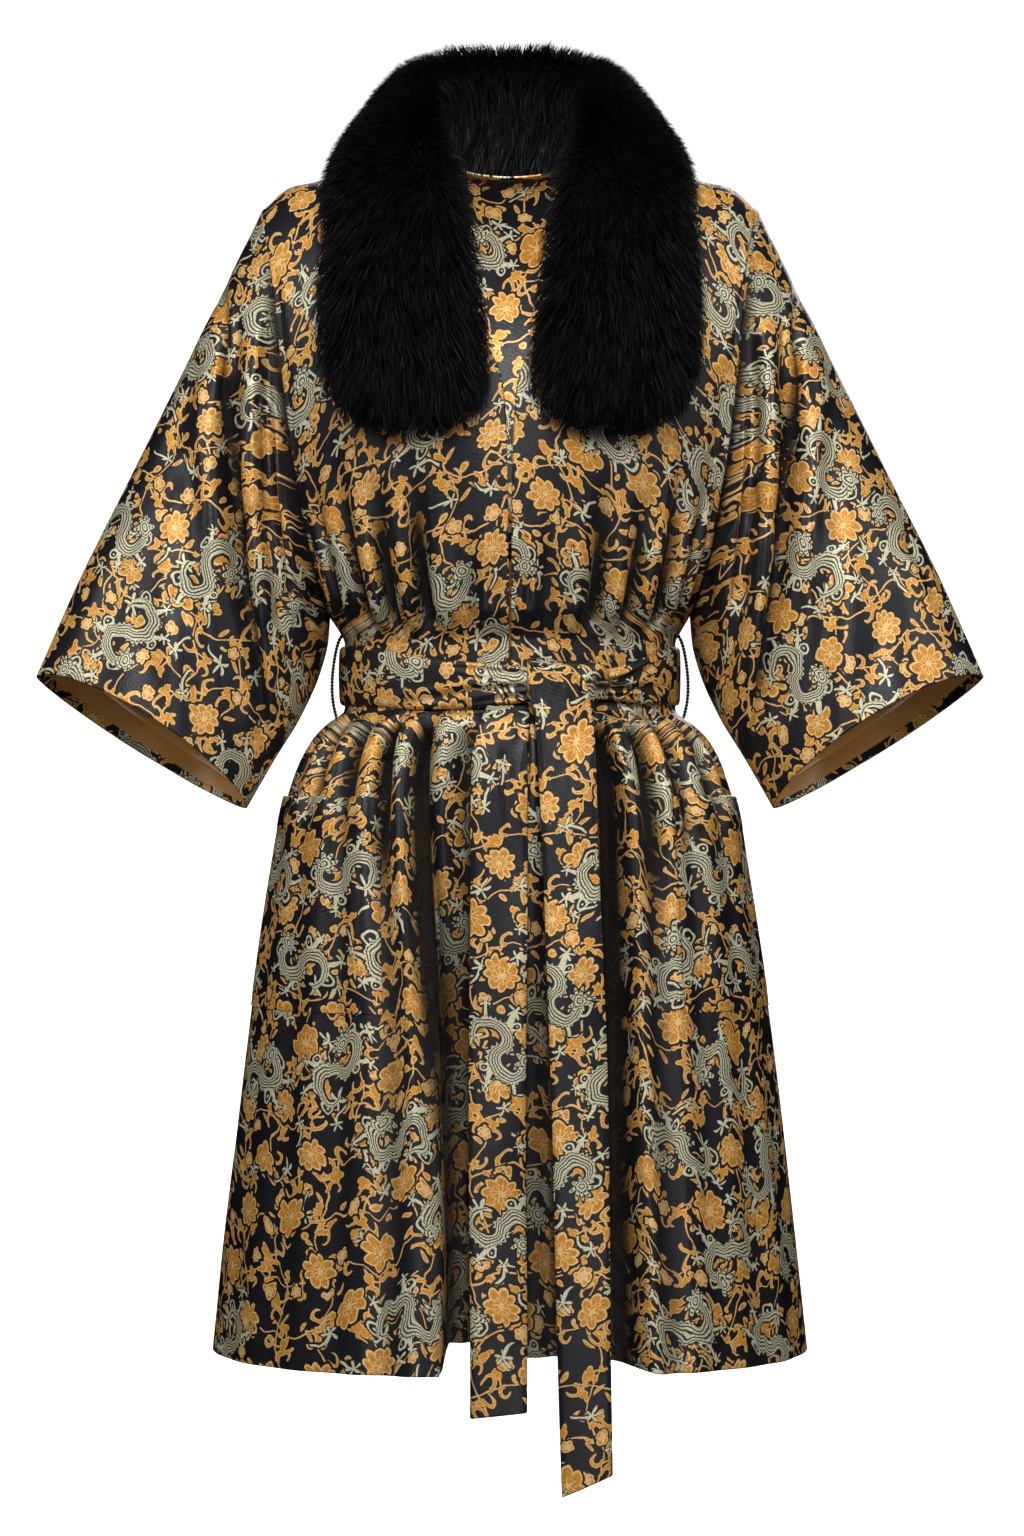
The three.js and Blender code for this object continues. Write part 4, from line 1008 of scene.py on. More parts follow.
def thread(name):
    f = Finish(name)
    where = f.node("TexCoord", None, None, 3)
    nap = f.node("TexNoise", None, {"Vector": where, "Scale": 900.0, "Detail": 1.0})
    bump = f.node("Bump", None, {"Strength": 0.5, "Distance": 0.0003, "Height": nap})
    f.set(Base_Color=f.blend(nap, (0.006, 0.006, 0.007), (0.02, 0.02, 0.022)), Roughness=0.6, Normal=bump)
    return f.material


BROCADE = brocade("brocade")
SATIN = satin("satin_lining")
FUR = fur("fur")
PELT = pelt("pelt")
THREAD = thread("thread")


def settle(made, slot, *nodes):
    """The piece takes the place of its solids."""
    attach(made, "root")
    if nodes:
        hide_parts(*nodes)
    return made


# Body panels

FOLD_MM = 38.0                  # the flat width of one fold
STEPS = 12                      # columns to a fold
BACK_FACING, FRONT_FACING = 330, 110   # how far down the inside is faced with brocade
EDGE_FACING = 1.4               # and how many folds in from a front's free edge
HEM_TURNING = 35
# Painted shade in a fold valley rises from none to full over these depths.
VALLEY_SHADE = (0.5, 11)        # the depths where a hollow starts to darken and is darkest


def spread_out(stops, counts):
    """Numbers from stop to stop, so many steps between each two."""
    parts = [np.linspace(a, b, n, endpoint=False) for a, b, n in zip(stops, stops[1:], counts)]
    return np.concatenate([*parts, [stops[-1]]])


LEVELS = spread_out(
    (0, 3, 60, UNDERARM - 60, BELT_TOP, BELT_BOTTOM, 560, COAT_LENGTH - 4, COAT_LENGTH - 0.7, COAT_LENGTH),
    (2, 14, 34, 26, 8, 36, 66, 3, 1),
)


def panel_rows(panel, seed):
    wide = FOLD_MM * panel.count
    many = 22 if panel.is_back else 12
    return belt_gathers(seed, wide, many) + drape(seed + 1, wide, COAT_LENGTH, many, 1.5)


def seam_shade(away, level):
    """Painted shade for the trough where a sleeve hangs against the body."""
    wide = 17 + 14 * level / UNDERARM
    return 0.97 * smooth(20, 120, level) * np.exp(-(away / wide) ** 2)


def panel_grids(panel, rows, c, levels, out=0.0):
    grid_c, grid_level = np.meshgrid(c, levels)
    normal = panel.normal(grid_c, grid_level)
    x = grid_c * FOLD_MM
    fine = creases(x, grid_level, rows)
    edge = smooth(0, 10, x) * smooth(0, 10, panel.count * FOLD_MM - x)
    above_belt = smooth(BELT_TOP + 2, BELT_TOP - 12, grid_level)
    below_belt = smooth(BELT_BOTTOM - 2, BELT_BOTTOM + 12, grid_level)
    fine = fine * edge * (above_belt + below_belt) * smooth(0, 25, grid_level)
    outer = panel.surface(grid_c, grid_level) + normal * (fine + out)[..., None]
    # Painted shade: full in the deep fold valleys and crease troughs, and, below, on the recessed middle
    # behind a front's step and along the armhole seam.
    shade = smooth(*VALLEY_SHADE, -panel.fold_out(grid_c, grid_level) - 1.6 * fine)
    if panel.recess:
        step, soft = panel.recess["step"], panel.recess["soft"]
        # Painted shade on the recessed middle behind the front's step, darkest right beside it.
        behind = (1 - smooth(step - soft / 3, step + soft / 3, grid_c)) * smooth(560, 690, grid_level)
        shade = np.maximum(shade, behind * (0.55 + 0.43 * np.exp(-((step - grid_c) / 0.5) ** 2)))
    from_seam = panel.count - grid_c
    if panel.is_back:
        from_seam = np.minimum(from_seam, grid_c)
    shade = np.maximum(shade, seam_shade(from_seam * FOLD_MM, grid_level) * (grid_level < UNDERARM))
    return outer, normal, shade


def flat_of(outer, start_u, anchor):
    u, v = run(outer, 1), run(outer, 0)
    return np.stack([u - u[:, anchor:anchor + 1] + start_u, -v], axis=-1)


def make_panel(name, panel, seed, facing):
    c = np.linspace(0, panel.count, panel.count * STEPS + 1)
    near = [] if panel.is_back else [0.02, 0.05]
    c = np.unique(np.concatenate([c, near]))
    rows = panel_rows(panel, seed)
    outer, normal, shade = panel_grids(panel, rows, c, LEVELS)
    anchor = len(c) // 2 if panel.is_back else 0
    start = 0.0 if panel.is_back else FRONT_EDGE.at("x", LEVELS)[:, None]
    uv = flat_of(outer, start, anchor)
    if panel.side < 0:
        uv[..., 0] = -uv[..., 0] - 37
    middle_level = (LEVELS[1:] + LEVELS[:-1]) / 2
    middle_c = (c[1:] + c[:-1]) / 2
    top = BACK_FACING if panel.is_back else FRONT_FACING
    faced = (middle_level < top) | (middle_level > COAT_LENGTH - HEM_TURNING)
    along_edge = (middle_c < EDGE_FACING) & facing
    faced = faced[:, None] | along_edge[None, :]
    mesh = Mesh()
    shell(mesh, outer, outer - normal * CLOTH, uv, inner_slot=np.where(faced, 0, 1), shade=shade)
    made = settle(mesh.make(name + "_cloth", [BROCADE, SATIN]), "brocade", name)
    return rows


make_panel("back", back, 11, False)
right_rows = make_panel("front_right", right_front, 21, True)
left_rows = make_panel("front_left", left_front, 31, True)


# Patch pockets


POCKET_HEM, POCKET_HEM_THICK = 25, 0.45   # the turned hem at the mouth, and how much thicker it is


def make_pocket(name, panel, rows, inner_share):
    table = np.linspace(0, panel.count, 400)
    first = np.interp(inner_share, panel.share(table, np.full(400, float(POCKET_TOP))), table)
    c = spread_out((first, first + 0.03, panel.count - 0.03, panel.count), (2, 50, 2))
    stops = (POCKET_TOP, POCKET_TOP + 2, POCKET_TOP + 30, POCKET_BOTTOM - 2, POCKET_BOTTOM)
    levels = spread_out(stops, (3, 14, 40, 3))
    grid_c, grid_level = np.meshgrid(c, levels)
    across = (grid_c - first) / (panel.count - first)
    opened = smooth(POCKET_TOP + POCKET_GAPE_DROP, POCKET_TOP, grid_level)
    gape = POCKET_GAPE * opened * np.sin(math.pi * mix(0.12, 0.92, across))
    down = grid_level - POCKET_TOP
    hem = POCKET_HEM_THICK * (1 - smooth(POCKET_HEM - 2, POCKET_HEM, down))
    from_edge = np.minimum(np.minimum(across, 1 - across) * 150, POCKET_BOTTOM - grid_level)
    pressed = mix(0.3, 1, np.maximum(smooth(0, 30, from_edge), 0.8 * opened))
    inner, normal, shade = panel_grids(panel, rows, c, levels, REST * pressed + gape)
    outer = inner + normal * (CLOTH * pressed + hem)[..., None]
    uv = flat_of(outer, 90.0, 0)
    mesh = Mesh()
    shell(mesh, outer, inner, uv, shade=shade)
    made = settle(mesh.make(name + "_cloth", [BROCADE]), "brocade", name)


make_pocket("pocket_right", right_front, right_rows, 0.385)
make_pocket("pocket_left", left_front, left_rows, 0.485)


# Sleeves and their linings

SLEEVE_COLUMNS = 150
SLEEVE_RADIUS, SLEEVE_LONG = 121, 430   # for places in millimetres round a sleeve and along it
CUFF_FACING = 0.984    # the brocade that shows inside the cuff starts here
SLEEVE_ROWS = spread_out((0, 0.01, 0.3, FACING, CUFF_FACING, 0.992, 0.999, 1), (2, 34, 66, 3, 3, 2, 1))


def sleeve_creases(seed):
    """Drag lines from the underarm, and faint long ones down the sleeve."""
    pick = np.random.default_rng(seed)
    rows = []
    for face in (-1, 1):
        middle = face * 190
        for _ in range(6):
            x = middle + face * pick.uniform(60, 150)
            rows.append((x, pick.uniform(5, 30), x - face * pick.uniform(30, 95), pick.uniform(110, 230),
                         pick.uniform(1.2, 3.2), pick.uniform(7, 12), pick.uniform(-12, 12)))
        for _ in range(8):
            x = middle + pick.uniform(-150, 130)
            y = pick.uniform(60, 330)
            rows.append((x, y, x + pick.uniform(-25, 25), y + pick.uniform(60, 160),
                         pick.uniform(0.6, 1.8), pick.uniform(8, 15), pick.uniform(-10, 10)))
    return rows


HUNG_LINE = Table("drop across", [(60, 236), (136, 232), (334, 218), (459, 196), (530, 188)])
HUNG_FOLDS = [  # place beside that line, depth, width, highest and lowest drop, sway
    (-34, 5, 8, 210, 430, 3),
    (-17, -6, 9, 110, 480, 3),
    (0, 12, 4.6, 105, 500, 3),
    (17, -5, 9, 150, 520, 3),
    (44, 4, 11, 240, 520, 6),
    (92, 3, 15, 330, 530, 6),
]


def hung_folds(surface, turn):
    """Troughs that fall from the shoulder nearly straight down, on both faces of a sleeve."""
    across, drop = surface[..., 0], -surface[..., 2]
    line = HUNG_LINE.at("across", drop)
    out = np.zeros_like(across)
    for place, deep, wide, high, low, sway in HUNG_FOLDS:
        middle = line + place + sway * np.sin(drop / 62 + place)
        strength = smooth(high - 50, high + 60, drop) * smooth(low + 40, low - 80, drop)
        out += deep * strength * np.exp(-((across - middle) / wide) ** 2)
    return out * np.abs(np.sin(turn)) ** 0.7


def sleeve_grid(at, rows, shift):
    turn = np.linspace(-math.pi, math.pi, SLEEVE_COLUMNS, endpoint=False)
    grid_turn, grid_at = np.meshgrid(turn, at)
    normal = sleeve_normal(grid_turn, grid_at)
    x, y = grid_turn * SLEEVE_RADIUS, grid_at * SLEEVE_LONG
    surface = sleeve_surface(grid_turn, grid_at)
    fine = creases(x, y, rows) - hung_folds(surface, grid_turn)
    fine = fine * smooth(0, 0.06, grid_at) * smooth(0, 14, math.pi * SLEEVE_RADIUS - np.abs(x))
    level = UNDERARM * (1 - np.cos(grid_turn)) / 2
    # Painted shade in the crease troughs and along the armhole seam.
    shade = np.maximum(smooth(3, 11, -fine), seam_shade(y, level))
    return surface + normal * (fine + shift)[..., None], normal, shade


def ring_flat(outer):
    closed = np.concatenate([outer, outer[:, :1]], axis=1)
    u, v = run(closed, 1), run(closed, 0)
    return np.stack([u - u[:, -1:] / 2, -v], axis=-1)


SLEEVE_WAY = unit(np.array([179.0, 0.0, -383.0]))   # the line of the sleeve's top fold
LINING_ROUND = 760


def sleeve_flat(outer):
    """Along the sleeve, and round it square to that, from the fold at its top."""
    closed = np.concatenate([outer, outer[:, :1]], axis=1)
    v = closed @ SLEEVE_WAY
    across = closed - v[..., None] * SLEEVE_WAY
    u = run(across, 1)
    return np.stack([u - u[:, SLEEVE_COLUMNS // 2][:, None], -v], axis=-1)


def make_sleeve(side, word, seed):
    rows = sleeve_creases(seed)
    mirror = np.array([side, 1, 1])
    outer, normal, shade = sleeve_grid(SLEEVE_ROWS, rows, 0.0)
    uv = sleeve_flat(outer) + np.array([side * 133, 0])
    inner = outer - normal * CLOTH
    middle = (SLEEVE_ROWS[1:] + SLEEVE_ROWS[:-1]) / 2
    slots = np.broadcast_to(np.where(middle > CUFF_FACING, 0, 1)[:, None], (len(middle), SLEEVE_COLUMNS))
    mesh = Mesh()
    shell(mesh, outer * mirror, inner * mirror, uv, ring=True, inner_slot=slots, shade=shade)
    made = settle(mesh.make(f"sleeve_{word}_cloth", [BROCADE, SATIN]), "brocade", f"sleeve_{word}")
    at = SLEEVE_ROWS[(SLEEVE_ROWS >= LINING_END - 0.005) & (SLEEVE_ROWS <= FACING + 0.001)]
    soft = drape(seed + 5, LINING_ROUND, SLEEVE_LONG, 14, 1.6)
    half = LINING_ROUND // 2
    soft = [(x0 - half, y0, x1 - half, *shape) for x0, y0, x1, *shape in soft]
    low, normal, _ = sleeve_grid(at, rows, -CLOTH - SEAM - REST)
    grid_turn, grid_at = np.meshgrid(np.linspace(-math.pi, math.pi, SLEEVE_COLUMNS, endpoint=False), at)
    sag = np.minimum(creases(grid_turn * SLEEVE_RADIUS, grid_at * SLEEVE_LONG, soft), 0.3)
    low = low + normal * sag[..., None]
    mesh = Mesh()
    shell(mesh, low * mirror, (low - normal * LINING) * mirror, sleeve_flat(low), ring=True)
    lining = mesh.make(f"sleeve_lining_{word}_satin", [SATIN])
    lining = settle(lining, "satin_lining", f"sleeve_lining_{word}")


make_sleeve(-1, "right", 41)
make_sleeve(1, "left", 51)


# Belt: the band, its knot and two ends


BAND_CREASES = [  # turn in degrees and place across at both ends, depth in mm, width in mm
    (-26, 0.55, 22, -0.15, 2.2, 2.4),
    (-17, -0.75, 20, -0.45, 1.6, 1.9),
    (-12, 0.95, 21, 0.30, 1.7, 2.0),
    (-40, 0.86, -4, 0.55, 0.9, 2.6),
    (26, -0.10, 62, -0.62, 2.9, 2.6),
    (27, 0.30, 66, 0.46, 2.6, 2.4),
    (25, -0.60, 45, -0.90, 1.6, 1.8),
    (28, 0.80, 48, 0.92, 1.4, 1.8),
]


BAND_DEGREE, BAND_UNIT = 2, 17   # the millimetres to a degree round the band, and across half of it


def belt_band():
    turn = np.linspace(-math.pi, math.pi, 420, endpoint=False)
    across = np.linspace(-1, 1, 25)
    grid_across, grid_turn = np.meshgrid(across, turn, indexing="ij")
    grid_degrees = np.degrees(grid_turn)
    middle, half, low = (BELT.at(name, grid_degrees) for name in ("drop", "half", "out"))
    low = BELT_CLEAR + low
    long, tall = BAND_DEGREE, BAND_UNIT
    rows = [
        (x0 * long, y0 * tall, x1 * long, y1 * tall, *size, 1.5)
        for x0, y0, x1, y1, *size in BAND_CREASES
    ]
    pleats = creases(grid_degrees * long, grid_across * tall, rows)
    roll = 0.35 * np.sin(grid_turn * 7 + grid_across)
    edge = np.sqrt(np.maximum(0, 1 - np.abs(grid_across) ** 14))
    fuller = BELT_CROWN * (1 - grid_across ** 2)
    out = low + BELT_THICK * mix(0.62, 1, edge) + fuller + (pleats + roll) * edge
    drop = middle + grid_across * half
    outer = waist_point(grid_turn, drop, np.maximum(out, low + 0.7))
    inner = waist_point(grid_turn, middle + grid_across * half * 0.995, low + 0 * out)
    uv = ring_flat(outer)
    mesh = Mesh()
    # The pleats' troughs get painted shade.
    shell(mesh, outer, inner, uv, ring=True, shade=smooth(0.5, 3.0, -pleats))
    return mesh.make("belt_band_cloth", [BROCADE])


def band_front(x):
    at = np.arcsin(np.clip((x / (WAIST_HALF + 6)) ** (RING_SQUARE / 2), 0, 1))
    out = BELT_CLEAR + BELT.at("out", np.degrees(at)) + BELT_THICK + BELT_CROWN
    return waist_point(at, np.full_like(x, float(KNOT_DROP)), out)[..., 1]


def belt_knot():
    """A smooth wrap that comes over the band's top edge, with rolls of cloth at its right."""
    angle = np.linspace(0.04, math.pi - 0.04, 72)
    turn = np.linspace(0, 2 * math.pi, 96, endpoint=False)
    grid_angle, grid_turn = np.meshgrid(angle, turn, indexing="ij")
    size = np.sin(grid_angle) ** 0.5
    x = KNOT_X - 33 * np.cos(grid_angle)
    beside = smooth(KNOT_X + 12, KNOT_X + 27, x)
    rolls = 0.22 * beside * np.cos(3.2 * grid_turn + (x - KNOT_X) * 0.12)
    left = smooth(KNOT_X - 18, KNOT_X - 30, x)
    rolls = rolls + 0.16 * left * np.cos(3.0 * grid_turn - 1.2)
    bulge = size * (1 + 0.10 * (1 - beside) * np.cos(2 * grid_turn + 0.25)) * (1 + rolls * 0.8)
    narrow = 1 - 0.22 * beside - 0.1 * left
    y = band_front(x) - REST - 7 * size * 1.12 - 7.2 * bulge * np.cos(grid_turn)
    z = -KNOT_DROP + 20.5 * bulge * narrow * np.sin(grid_turn) + 3.2 * beside
    points = np.stack([x, y, z], axis=-1)
    mesh = Mesh()
    centre = np.mean(points, axis=1, keepdims=True)
    # Painted shade between the knot's rolls.
    shade = smooth(0.02, 0.2, -rolls)
    shell(mesh, points, mix(points, centre, 0.24), ring_flat(points), ring=True, shade=shade)
    return mesh.make("belt_knot_cloth", [BROCADE])


def belt_end(name, table, slant, seed, over):
    """A hanging strip of doubled cloth with its long edges pressed and a faint wave in it."""
    first, last = table.key[0], table.key[-1]
    drop = spread_out((first, first + 8, first + 60, last - 3, last), (8, 20, 90, 4))
    across = np.array([-1, -0.985, -0.95, -0.8, -0.6, -0.4, -0.2, 0, 0.2, 0.4, 0.6, 0.8, 0.95, 0.985, 1])
    grid_drop, u = np.meshgrid(drop, across, indexing="ij")
    x, y, half, lean = (table.at(column, grid_drop) for column in ("x", "y", "half", "lean"))
    pick = np.random.default_rng(seed)
    phase = pick.uniform(0, 6, 4)
    calm = smooth(first, first + 90, grid_drop)
    wave = calm * (1.1 * np.sin(grid_drop / 47 + phase[0]) + 0.7 * np.sin(grid_drop / 21 + phase[1] + u))
    cup = calm * 1.3 * u * np.sin(grid_drop / 83 + phase[2])
    rows = []
    for _ in range(4):
        top, foot, low = pick.uniform(4, 36), pick.uniform(-12, 12), pick.uniform(60, 150)
        deep, width, bend = pick.uniform(0.8, 1.8), pick.uniform(2.5, 4.5), pick.uniform(-3, 3)
        rows.append((top - half[0, 0], first + 12, foot, first + low, deep, width, bend))
    folds = creases(u * half, grid_drop, rows)
    back_over = over * (1 - smooth(first, first + 9, grid_drop)) ** 2
    middle_y = y + u * lean - END_CROWN * (1 - u * u) + wave + cup - folds + back_over
    z = -grid_drop + smooth(first, last, grid_drop) ** 6 * slant * u / 2
    side = 0.6 * calm * np.sin(grid_drop / 60 + phase[3])
    thin = np.where(np.abs(u) > 0.98, 0.55, 1.0) * END_THICK / 2
    front = np.stack([x + side + u * half, middle_y - thin, z], axis=-1)
    rear = np.stack([x + side + u * half, middle_y + thin, z], axis=-1)
    mesh = Mesh()
    shell(mesh, front, rear, flat_of(front, 20.0 * seed, 7))
    return mesh.make(name + "_cloth", [BROCADE])


band = settle(belt_band(), "brocade", "belt_band")
knot = settle(belt_knot(), "brocade", "belt_knot")
short_end = belt_end("belt_end_short", SHORT_END, SHORT_SLANT, 61, 0.0)
long_end = belt_end("belt_end_long", LONG_END, LONG_SLANT, 62, 9.0)
settle(short_end, "brocade", "belt_end_short")
settle(long_end, "brocade", "belt_end_long")


# Thread belt loops: two strands laid round each other


def smooth_path(points, count):
    points = np.array(points, float)
    ahead = np.concatenate([points[:1] * 2 - points[1:2], points, points[-1:] * 2 - points[-2:-1]])
    out = []
    for k in range(len(points) - 1):
        a, b, c, d = ahead[k:k + 4]
        t = np.linspace(0, 1, count, endpoint=False)[:, None]
        square, cube = 2 * a - 5 * b + 4 * c - d, 3 * b - a - 3 * c + d
        out.append(0.5 * (2 * b + (c - a) * t + square * t ** 2 + cube * t ** 3))
    return np.concatenate([*out, points[-1:]])


LOOP_TOP, LOOP_BOTTOM = 398, 467
LOOP_OUT, LOOP_FOOT = 3.4, 1.3          # how far it stands off the belt, and off the body at its feet
STRAND_RADIUS, STRAND_OFF, STRAND_TURN = 0.85, 0.7, 1.15


def thread_loop(side, word):
    reach = float(BODY.at("half", BELT_MIDDLE)) + BELT_CLEAR + BELT_THICK + LOOP_OUT
    foot = [float(BODY.at("half", drop)) + LOOP_FOOT + 2 * REST + SEAM for drop in (LOOP_TOP, LOOP_BOTTOM)]
    path = smooth_path([(foot[0] - 7, 0, -394), (foot[0] - 1, 0, -402), (reach + 1, 0, -416),
                        (reach + 3.2, 0, -436), (reach + 2.4, 0, -453), (foot[1] - 6, 0, -470)], 30)
    along = run(path[:, None], 0)[:, 0]
    tangent = unit(np.gradient(path, axis=0))
    aside = np.array([0.0, 1.0, 0.0])
    upward = np.cross(tangent, aside)
    mirror = np.array([side, 1, 1])
    ring = np.linspace(0, 2 * math.pi, 8, endpoint=False)[None, :, None]
    circle = STRAND_RADIUS * (np.cos(ring) * aside + np.sin(ring) * upward[:, None])
    mesh = Mesh()
    for strand in (0, math.pi):
        twist = (along * STRAND_TURN + strand)[:, None]
        centre = path + STRAND_OFF * (np.cos(twist) * aside + np.sin(twist) * upward)
        tube = (centre[:, None] + circle) * mirror
        shell(mesh, tube, mix(tube, centre[:, None] * mirror, 0.5), ring_flat(tube), ring=True)
    settle(mesh.make(f"belt_loop_{word}_thread", [THREAD]), "thread", f"belt_loop_{word}")


thread_loop(-1, "right")
thread_loop(1, "left")


# Fur collar: a pelt inside the solid's form, and combed hair on it


def fur_base():
    """The collar's form, remeshed into even cells; make_fur draws it in by the length that the hair stands
    up.
    """
    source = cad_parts["fur_collar"]
    made = bpy.data.objects.new("fur_collar_pelt", source.data.copy())
    bpy.context.scene.collection.objects.link(made)
    change = made.modifiers.new("even", "REMESH")
    change.mode = "VOXEL"
    change.voxel_size = 0.006
    ready = made.evaluated_get(bpy.context.evaluated_depsgraph_get())
    mesh = bpy.data.meshes.new_from_object(ready)
    made.modifiers.clear()
    made.data = mesh
    return made


def mesh_arrays(mesh):
    points = np.zeros(len(mesh.vertices) * 3, np.float32)
    mesh.vertices.foreach_get("co", points)
    normals = np.zeros(len(mesh.vertices) * 3, np.float32)
    mesh.vertex_normals.foreach_get("vector", normals)
    mesh.calc_loop_triangles()
    corners = np.zeros(len(mesh.loop_triangles) * 3, np.int32)
    mesh.loop_triangles.foreach_get("vertices", corners)
    return points.reshape(-1, 3).astype(float), normals.reshape(-1, 3).astype(float), corners.reshape(-1, 3)


def eased(values, edges, count, times):
    """Averages a value at each point with its neighbours' a few times."""
    degree = np.bincount(edges.ravel(), minlength=count)[:, None]
    for _ in range(times):
        total = np.zeros_like(values)
        np.add.at(total, edges[:, 0], values[edges[:, 1]])
        np.add.at(total, edges[:, 1], values[edges[:, 0]])
        values = 0.5 * values + 0.5 * total / np.maximum(degree, 1)
    return values


HAIR_STAND = 0.012     # how far the pelt lies inside the solid
HAIR_LONG = 0.024      # how far a hair runs along the pelt
HAIRS, HAIRS_QUICK = 124000, 20000
HAIR_LOW, HAIR_HIGH = 0.008, 0.034     # how far a hair stands up from the pelt
HAIR_THIN, HAIR_THICK = 0.00026, 0.00052
HAIR_GAP = 0.012       # a hair that would meet the cloth sooner is left out
COLLAR_SPLIT = 0.07    # the sides of the neck, where the hair is divided into three pieces


def body_tree():
    points, faces, used = [], [], 0
    for node in ("back", "front_right", "front_left", "sleeve_right", "sleeve_left"):
        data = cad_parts[node].data
        points += [tuple(vertex.co) for vertex in data.vertices]
        faces += [tuple(k + used for k in polygon.vertices) for polygon in data.polygons]
        used = len(points)
    return BVHTree.FromPolygons(points, faces)


def make_fur():
    pelt_piece = fur_base()
    points, normals, corners = mesh_arrays(pelt_piece.data)
    edges = np.concatenate([corners[:, [0, 1]], corners[:, [1, 2]], corners[:, [2, 0]]])
    edges = np.unique(np.sort(edges, axis=1), axis=0)
    normals = unit(eased(normals, edges, len(points), 5))
    drawn = eased(points - normals * HAIR_STAND, edges, len(points), 3)
    pelt_piece.data.vertices.foreach_set("co", drawn.astype(np.float32).ravel())
    pelt_piece.data.materials.clear()
    pelt_piece.data.materials.append(PELT)
    pelt_piece.data.polygons.foreach_set("use_smooth", np.ones(len(pelt_piece.data.polygons), bool))
    pelt_piece.data.update()
    settle(pelt_piece, "fur", "fur_collar")

    pick = np.random.default_rng(7)
    a, b, c = (drawn[corners[:, k]] for k in range(3))
    size = np.linalg.norm(np.cross(b - a, c - a), axis=1)
    count = HAIRS
    size = size * (1 + 1.8 * smooth(0.2, 0.9, normals[corners].mean(axis=1)[:, 2]))
    chosen = pick.choice(len(size), count, p=size / size.sum())
    u, v = pick.random((2, count, 1))
    u, v = np.where(u + v > 1, 1 - u, u), np.where(u + v > 1, 1 - v, v)
    root = a[chosen] + u * (b[chosen] - a[chosen]) + v * (c[chosen] - a[chosen])
    a, b, c = (points[corners[chosen, k]] for k in range(3))
    height = np.linalg.norm(a + u * (b - a) + v * (c - a) - root, axis=1)
    n = unit(sum(normals[corners[chosen, k]] for k in range(3)))

    def swirl(seed, scale):
        turns = np.random.default_rng(seed).normal(0, 1, (5, 3, 3)) / scale
        shift = np.random.default_rng(seed + 1).uniform(0, 6.28, (5, 3))
        return sum(np.sin(root @ turns[k] + shift[k]) for k in range(5)) / 2.2

    outwards = unit(np.stack([root[:, 0], root[:, 1] - 0.02, 0 * root[:, 2]], axis=-1))
    low = smooth(0.055, -0.03, root[:, 2])[:, None]
    down = np.array([0.0, 0.0, -1.0])
    spread = np.sign(root[:, 0]) * (np.abs(root[:, 0]) - 0.085) * 8
    fan = np.stack([spread, 0 * spread, 0 * spread], axis=-1)
    comb = mix(outwards * 0.6 + np.array([0, 0.0, 0.35]), down + fan * 0.8, low)
    inside = smooth(0.1, 0.6, -np.sum(n * outwards, axis=1)) * smooth(0, 0.03, root[:, 1])
    comb = mix(unit(comb), down, inside[:, None])
    comb = unit(comb) + swirl(3, 0.012) * 0.16 + swirl(5, 0.04) * 0.12
    comb = unit(comb - n * np.sum(comb * n, axis=1, keepdims=True))
    high = np.clip(height, HAIR_LOW, HAIR_HIGH) * pick.uniform(0.8, 1.2, count)
    along = HAIR_LONG * pick.uniform(0.55, 1.15, count) * (1 - 0.5 * smooth(0.3, 0.9, n[:, 2]))
    reach = n * high[:, None] + comb * along[:, None]
    reach = reach + pick.normal(0, 0.0015, (count, 3))
    long = np.linalg.norm(reach, axis=1)
    start = unit(n * 1.1 + comb * 0.7 + pick.normal(0, 0.08, (count, 3)))

    tree = body_tree()
    keep = np.ones(count, bool)
    way = unit(reach)
    for k in range(count):
        hit = tree.ray_cast(Vector(root[k] + n[k] * 0.001), Vector(way[k]), float(long[k]))
        if hit[0] is not None:
            if hit[3] < HAIR_GAP:
                keep[k] = False
            else:
                reach[k] = way[k] * hit[3] * 0.92
    root, start, reach, long = root[keep], start[keep], reach[keep], long[keep]
    count = len(root)
    wide = pick.uniform(HAIR_THIN, HAIR_THICK, count)
    flat_way = unit(np.cross(reach, pick.normal(0, 1, (count, 3))))
    bent = 0.5 * reach + 0.22 * (start * long[:, None] - reach)
    rings = []
    for centre, taper in ((root, 1.0), (root + bent, 0.8)):
        rings += [centre - flat_way * (wide * taper)[:, None], centre + flat_way * (wide * taper)[:, None]]
    strands = np.stack([*rings, root + reach], axis=1)
    tone = np.clip(pick.normal(0.35, 0.22, count) + 0.25 * swirl(9, 0.03)[:, 0], 0, 1)
    behind = (np.abs(root[:, 0]) < COLLAR_SPLIT) & (root[:, 1] > 0)
    right = root[:, 0] < 0
    parts = {"back": behind, "right": ~behind & right, "left": ~behind & ~right}
    for word, chosen in parts.items():
        piece_hair(f"fur_collar_hair_{word}", strands[chosen], tone[chosen])


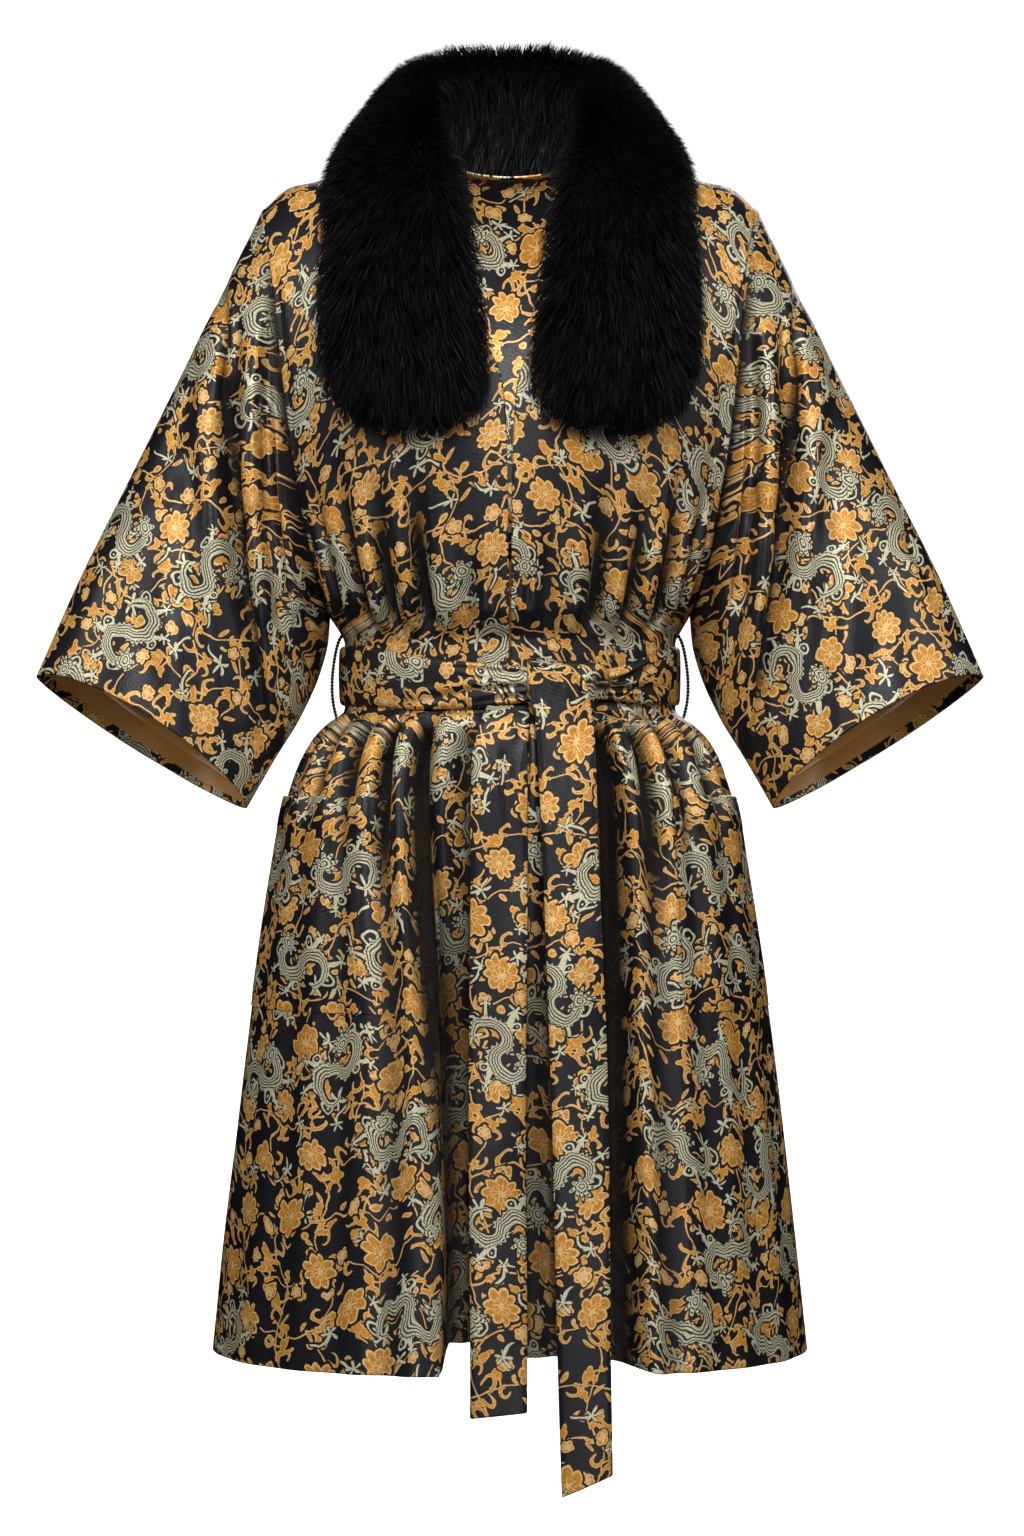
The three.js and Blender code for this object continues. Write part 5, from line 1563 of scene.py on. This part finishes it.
def piece_hair(name, strands, tone):
    """Each hair is a blade: four points, then its tip."""
    count = len(strands)
    base = np.arange(count)[:, None] * 5
    quads = (base + np.array([0, 1, 3, 2])).reshape(-1)
    tips = (base + np.array([2, 3, 4])).reshape(-1)
    mesh = bpy.data.meshes.new(name)
    mesh.vertices.add(count * 5)
    mesh.vertices.foreach_set("co", strands.astype(np.float32).ravel())
    mesh.loops.add(len(quads) + len(tips))
    mesh.loops.foreach_set("vertex_index", np.concatenate([quads, tips]).astype(np.int32))
    mesh.polygons.add(count * 2)
    starts = np.concatenate([np.arange(0, count * 4, 4), count * 4 + np.arange(0, count * 3, 3)])
    mesh.polygons.foreach_set("loop_start", starts.astype(np.int32))
    mesh.polygons.foreach_set("use_smooth", np.ones(count * 2, bool))
    shade = mesh.attributes.new("tone", "FLOAT", "POINT")
    shade.data.foreach_set("value", np.repeat(tone, 5).astype(np.float32))
    mesh.materials.append(FUR)
    mesh.update(calc_edges=True)
    made = bpy.data.objects.new(name, mesh)
    bpy.context.scene.collection.objects.link(made)
    settle(made, "fur")


make_fur()


# Studio: a white sweep, soft boxes and a white surround


FLOOR = -1.45
WALL_DEPTH, WALL_TOP = 3.6, 4.5
SWEEP_STARTS, SWEEP_RADIUS = 2.2, 1.4

# Soft boxes: name, place, target, width, height and power
BOXES = [
    ("key", (-2.5, -1.7, 1.0), (0, 0, -0.45), 0.8, 1.3, 37),
    ("fill", (2.5, -1.7, 0.9), (0, 0, -0.45), 0.8, 1.3, 34),
    ("front", (0, -3.2, 1.3), (0, 0, -0.45), 0.6, 0.45, 77),
    ("low", (0, -3.0, -1.3), (0, 0, -0.55), 0.9, 0.3, 14),
    ("top", (0, -0.9, 1.9), (0, 0, -0.2), 1.3, 0.8, 34),
    ("rear", (0.4, 2.9, 0.9), (0, 0, -0.5), 2.0, 1.8, 70),
]
NECK_SPOT = ((0, -1.5, 0.42), (0, 0.1, -0.07))
NECK_POWER, NECK_ANGLE = 125, 0.16


def studio():
    pale = Finish("studio_white")
    pale.set(Base_Color=(0.9, 0.9, 0.9), Roughness=0.9, Emission_Color=(1.0, 1.0, 1.0), Emission_Strength=0.9)
    turn = np.linspace(0.1, math.pi / 2, 14)
    depth = np.concatenate([np.linspace(-6, SWEEP_STARTS, 12), SWEEP_STARTS + SWEEP_RADIUS * np.sin(turn)])
    height = np.concatenate([np.full(12, FLOOR), FLOOR + SWEEP_RADIUS * (1 - np.cos(turn))])
    depth, height = np.append(depth, WALL_DEPTH), np.append(height, WALL_TOP)
    columns = [np.stack([np.full_like(depth, x), depth, height], axis=-1) for x in np.linspace(-7, 7, 8)]
    grid = np.stack(columns, axis=1)
    rows, cols = grid.shape[:2]
    faces = [(r * cols + c, r * cols + c + 1, (r + 1) * cols + c + 1, (r + 1) * cols + c)
             for r in range(rows - 1) for c in range(cols - 1)]
    mesh = bpy.data.meshes.new("sweep")
    mesh.from_pydata(grid.reshape(-1, 3).tolist(), [], faces)
    mesh.materials.append(pale.material)
    sweep = bpy.data.objects.new("sweep", mesh)
    sweep.visible_diffuse = False
    sweep.visible_glossy = False
    bpy.context.scene.collection.objects.link(sweep)

    def light(name, data, place, target):
        made = bpy.data.objects.new(name, data)
        made.location = place
        made.rotation_euler = (Vector(target) - Vector(place)).to_track_quat("-Z", "Y").to_euler()
        bpy.context.scene.collection.objects.link(made)

    for name, place, target, wide, tall, power in BOXES:
        data = bpy.data.lights.new(name, "AREA")
        data.shape, data.size, data.size_y, data.energy = "RECTANGLE", wide, tall, power
        light(name, data, place, target)
    data = bpy.data.lights.new("neck", "SPOT")
    data.energy, data.spot_size, data.spot_blend, data.shadow_soft_size = NECK_POWER, NECK_ANGLE, 0.9, 0.02
    light("neck", data, *NECK_SPOT)

    world = bpy.data.worlds.new("surround")
    bpy.context.scene.world = world
    world.use_nodes = True
    world.node_tree.nodes["Background"].inputs["Color"].default_value = (1, 1, 1, 1)
    world.node_tree.nodes["Background"].inputs["Strength"].default_value = 1.0
    world.cycles_visibility.diffuse = False
    world.cycles_visibility.glossy = False
    bpy.context.scene.view_settings.view_transform = "Standard"


studio()
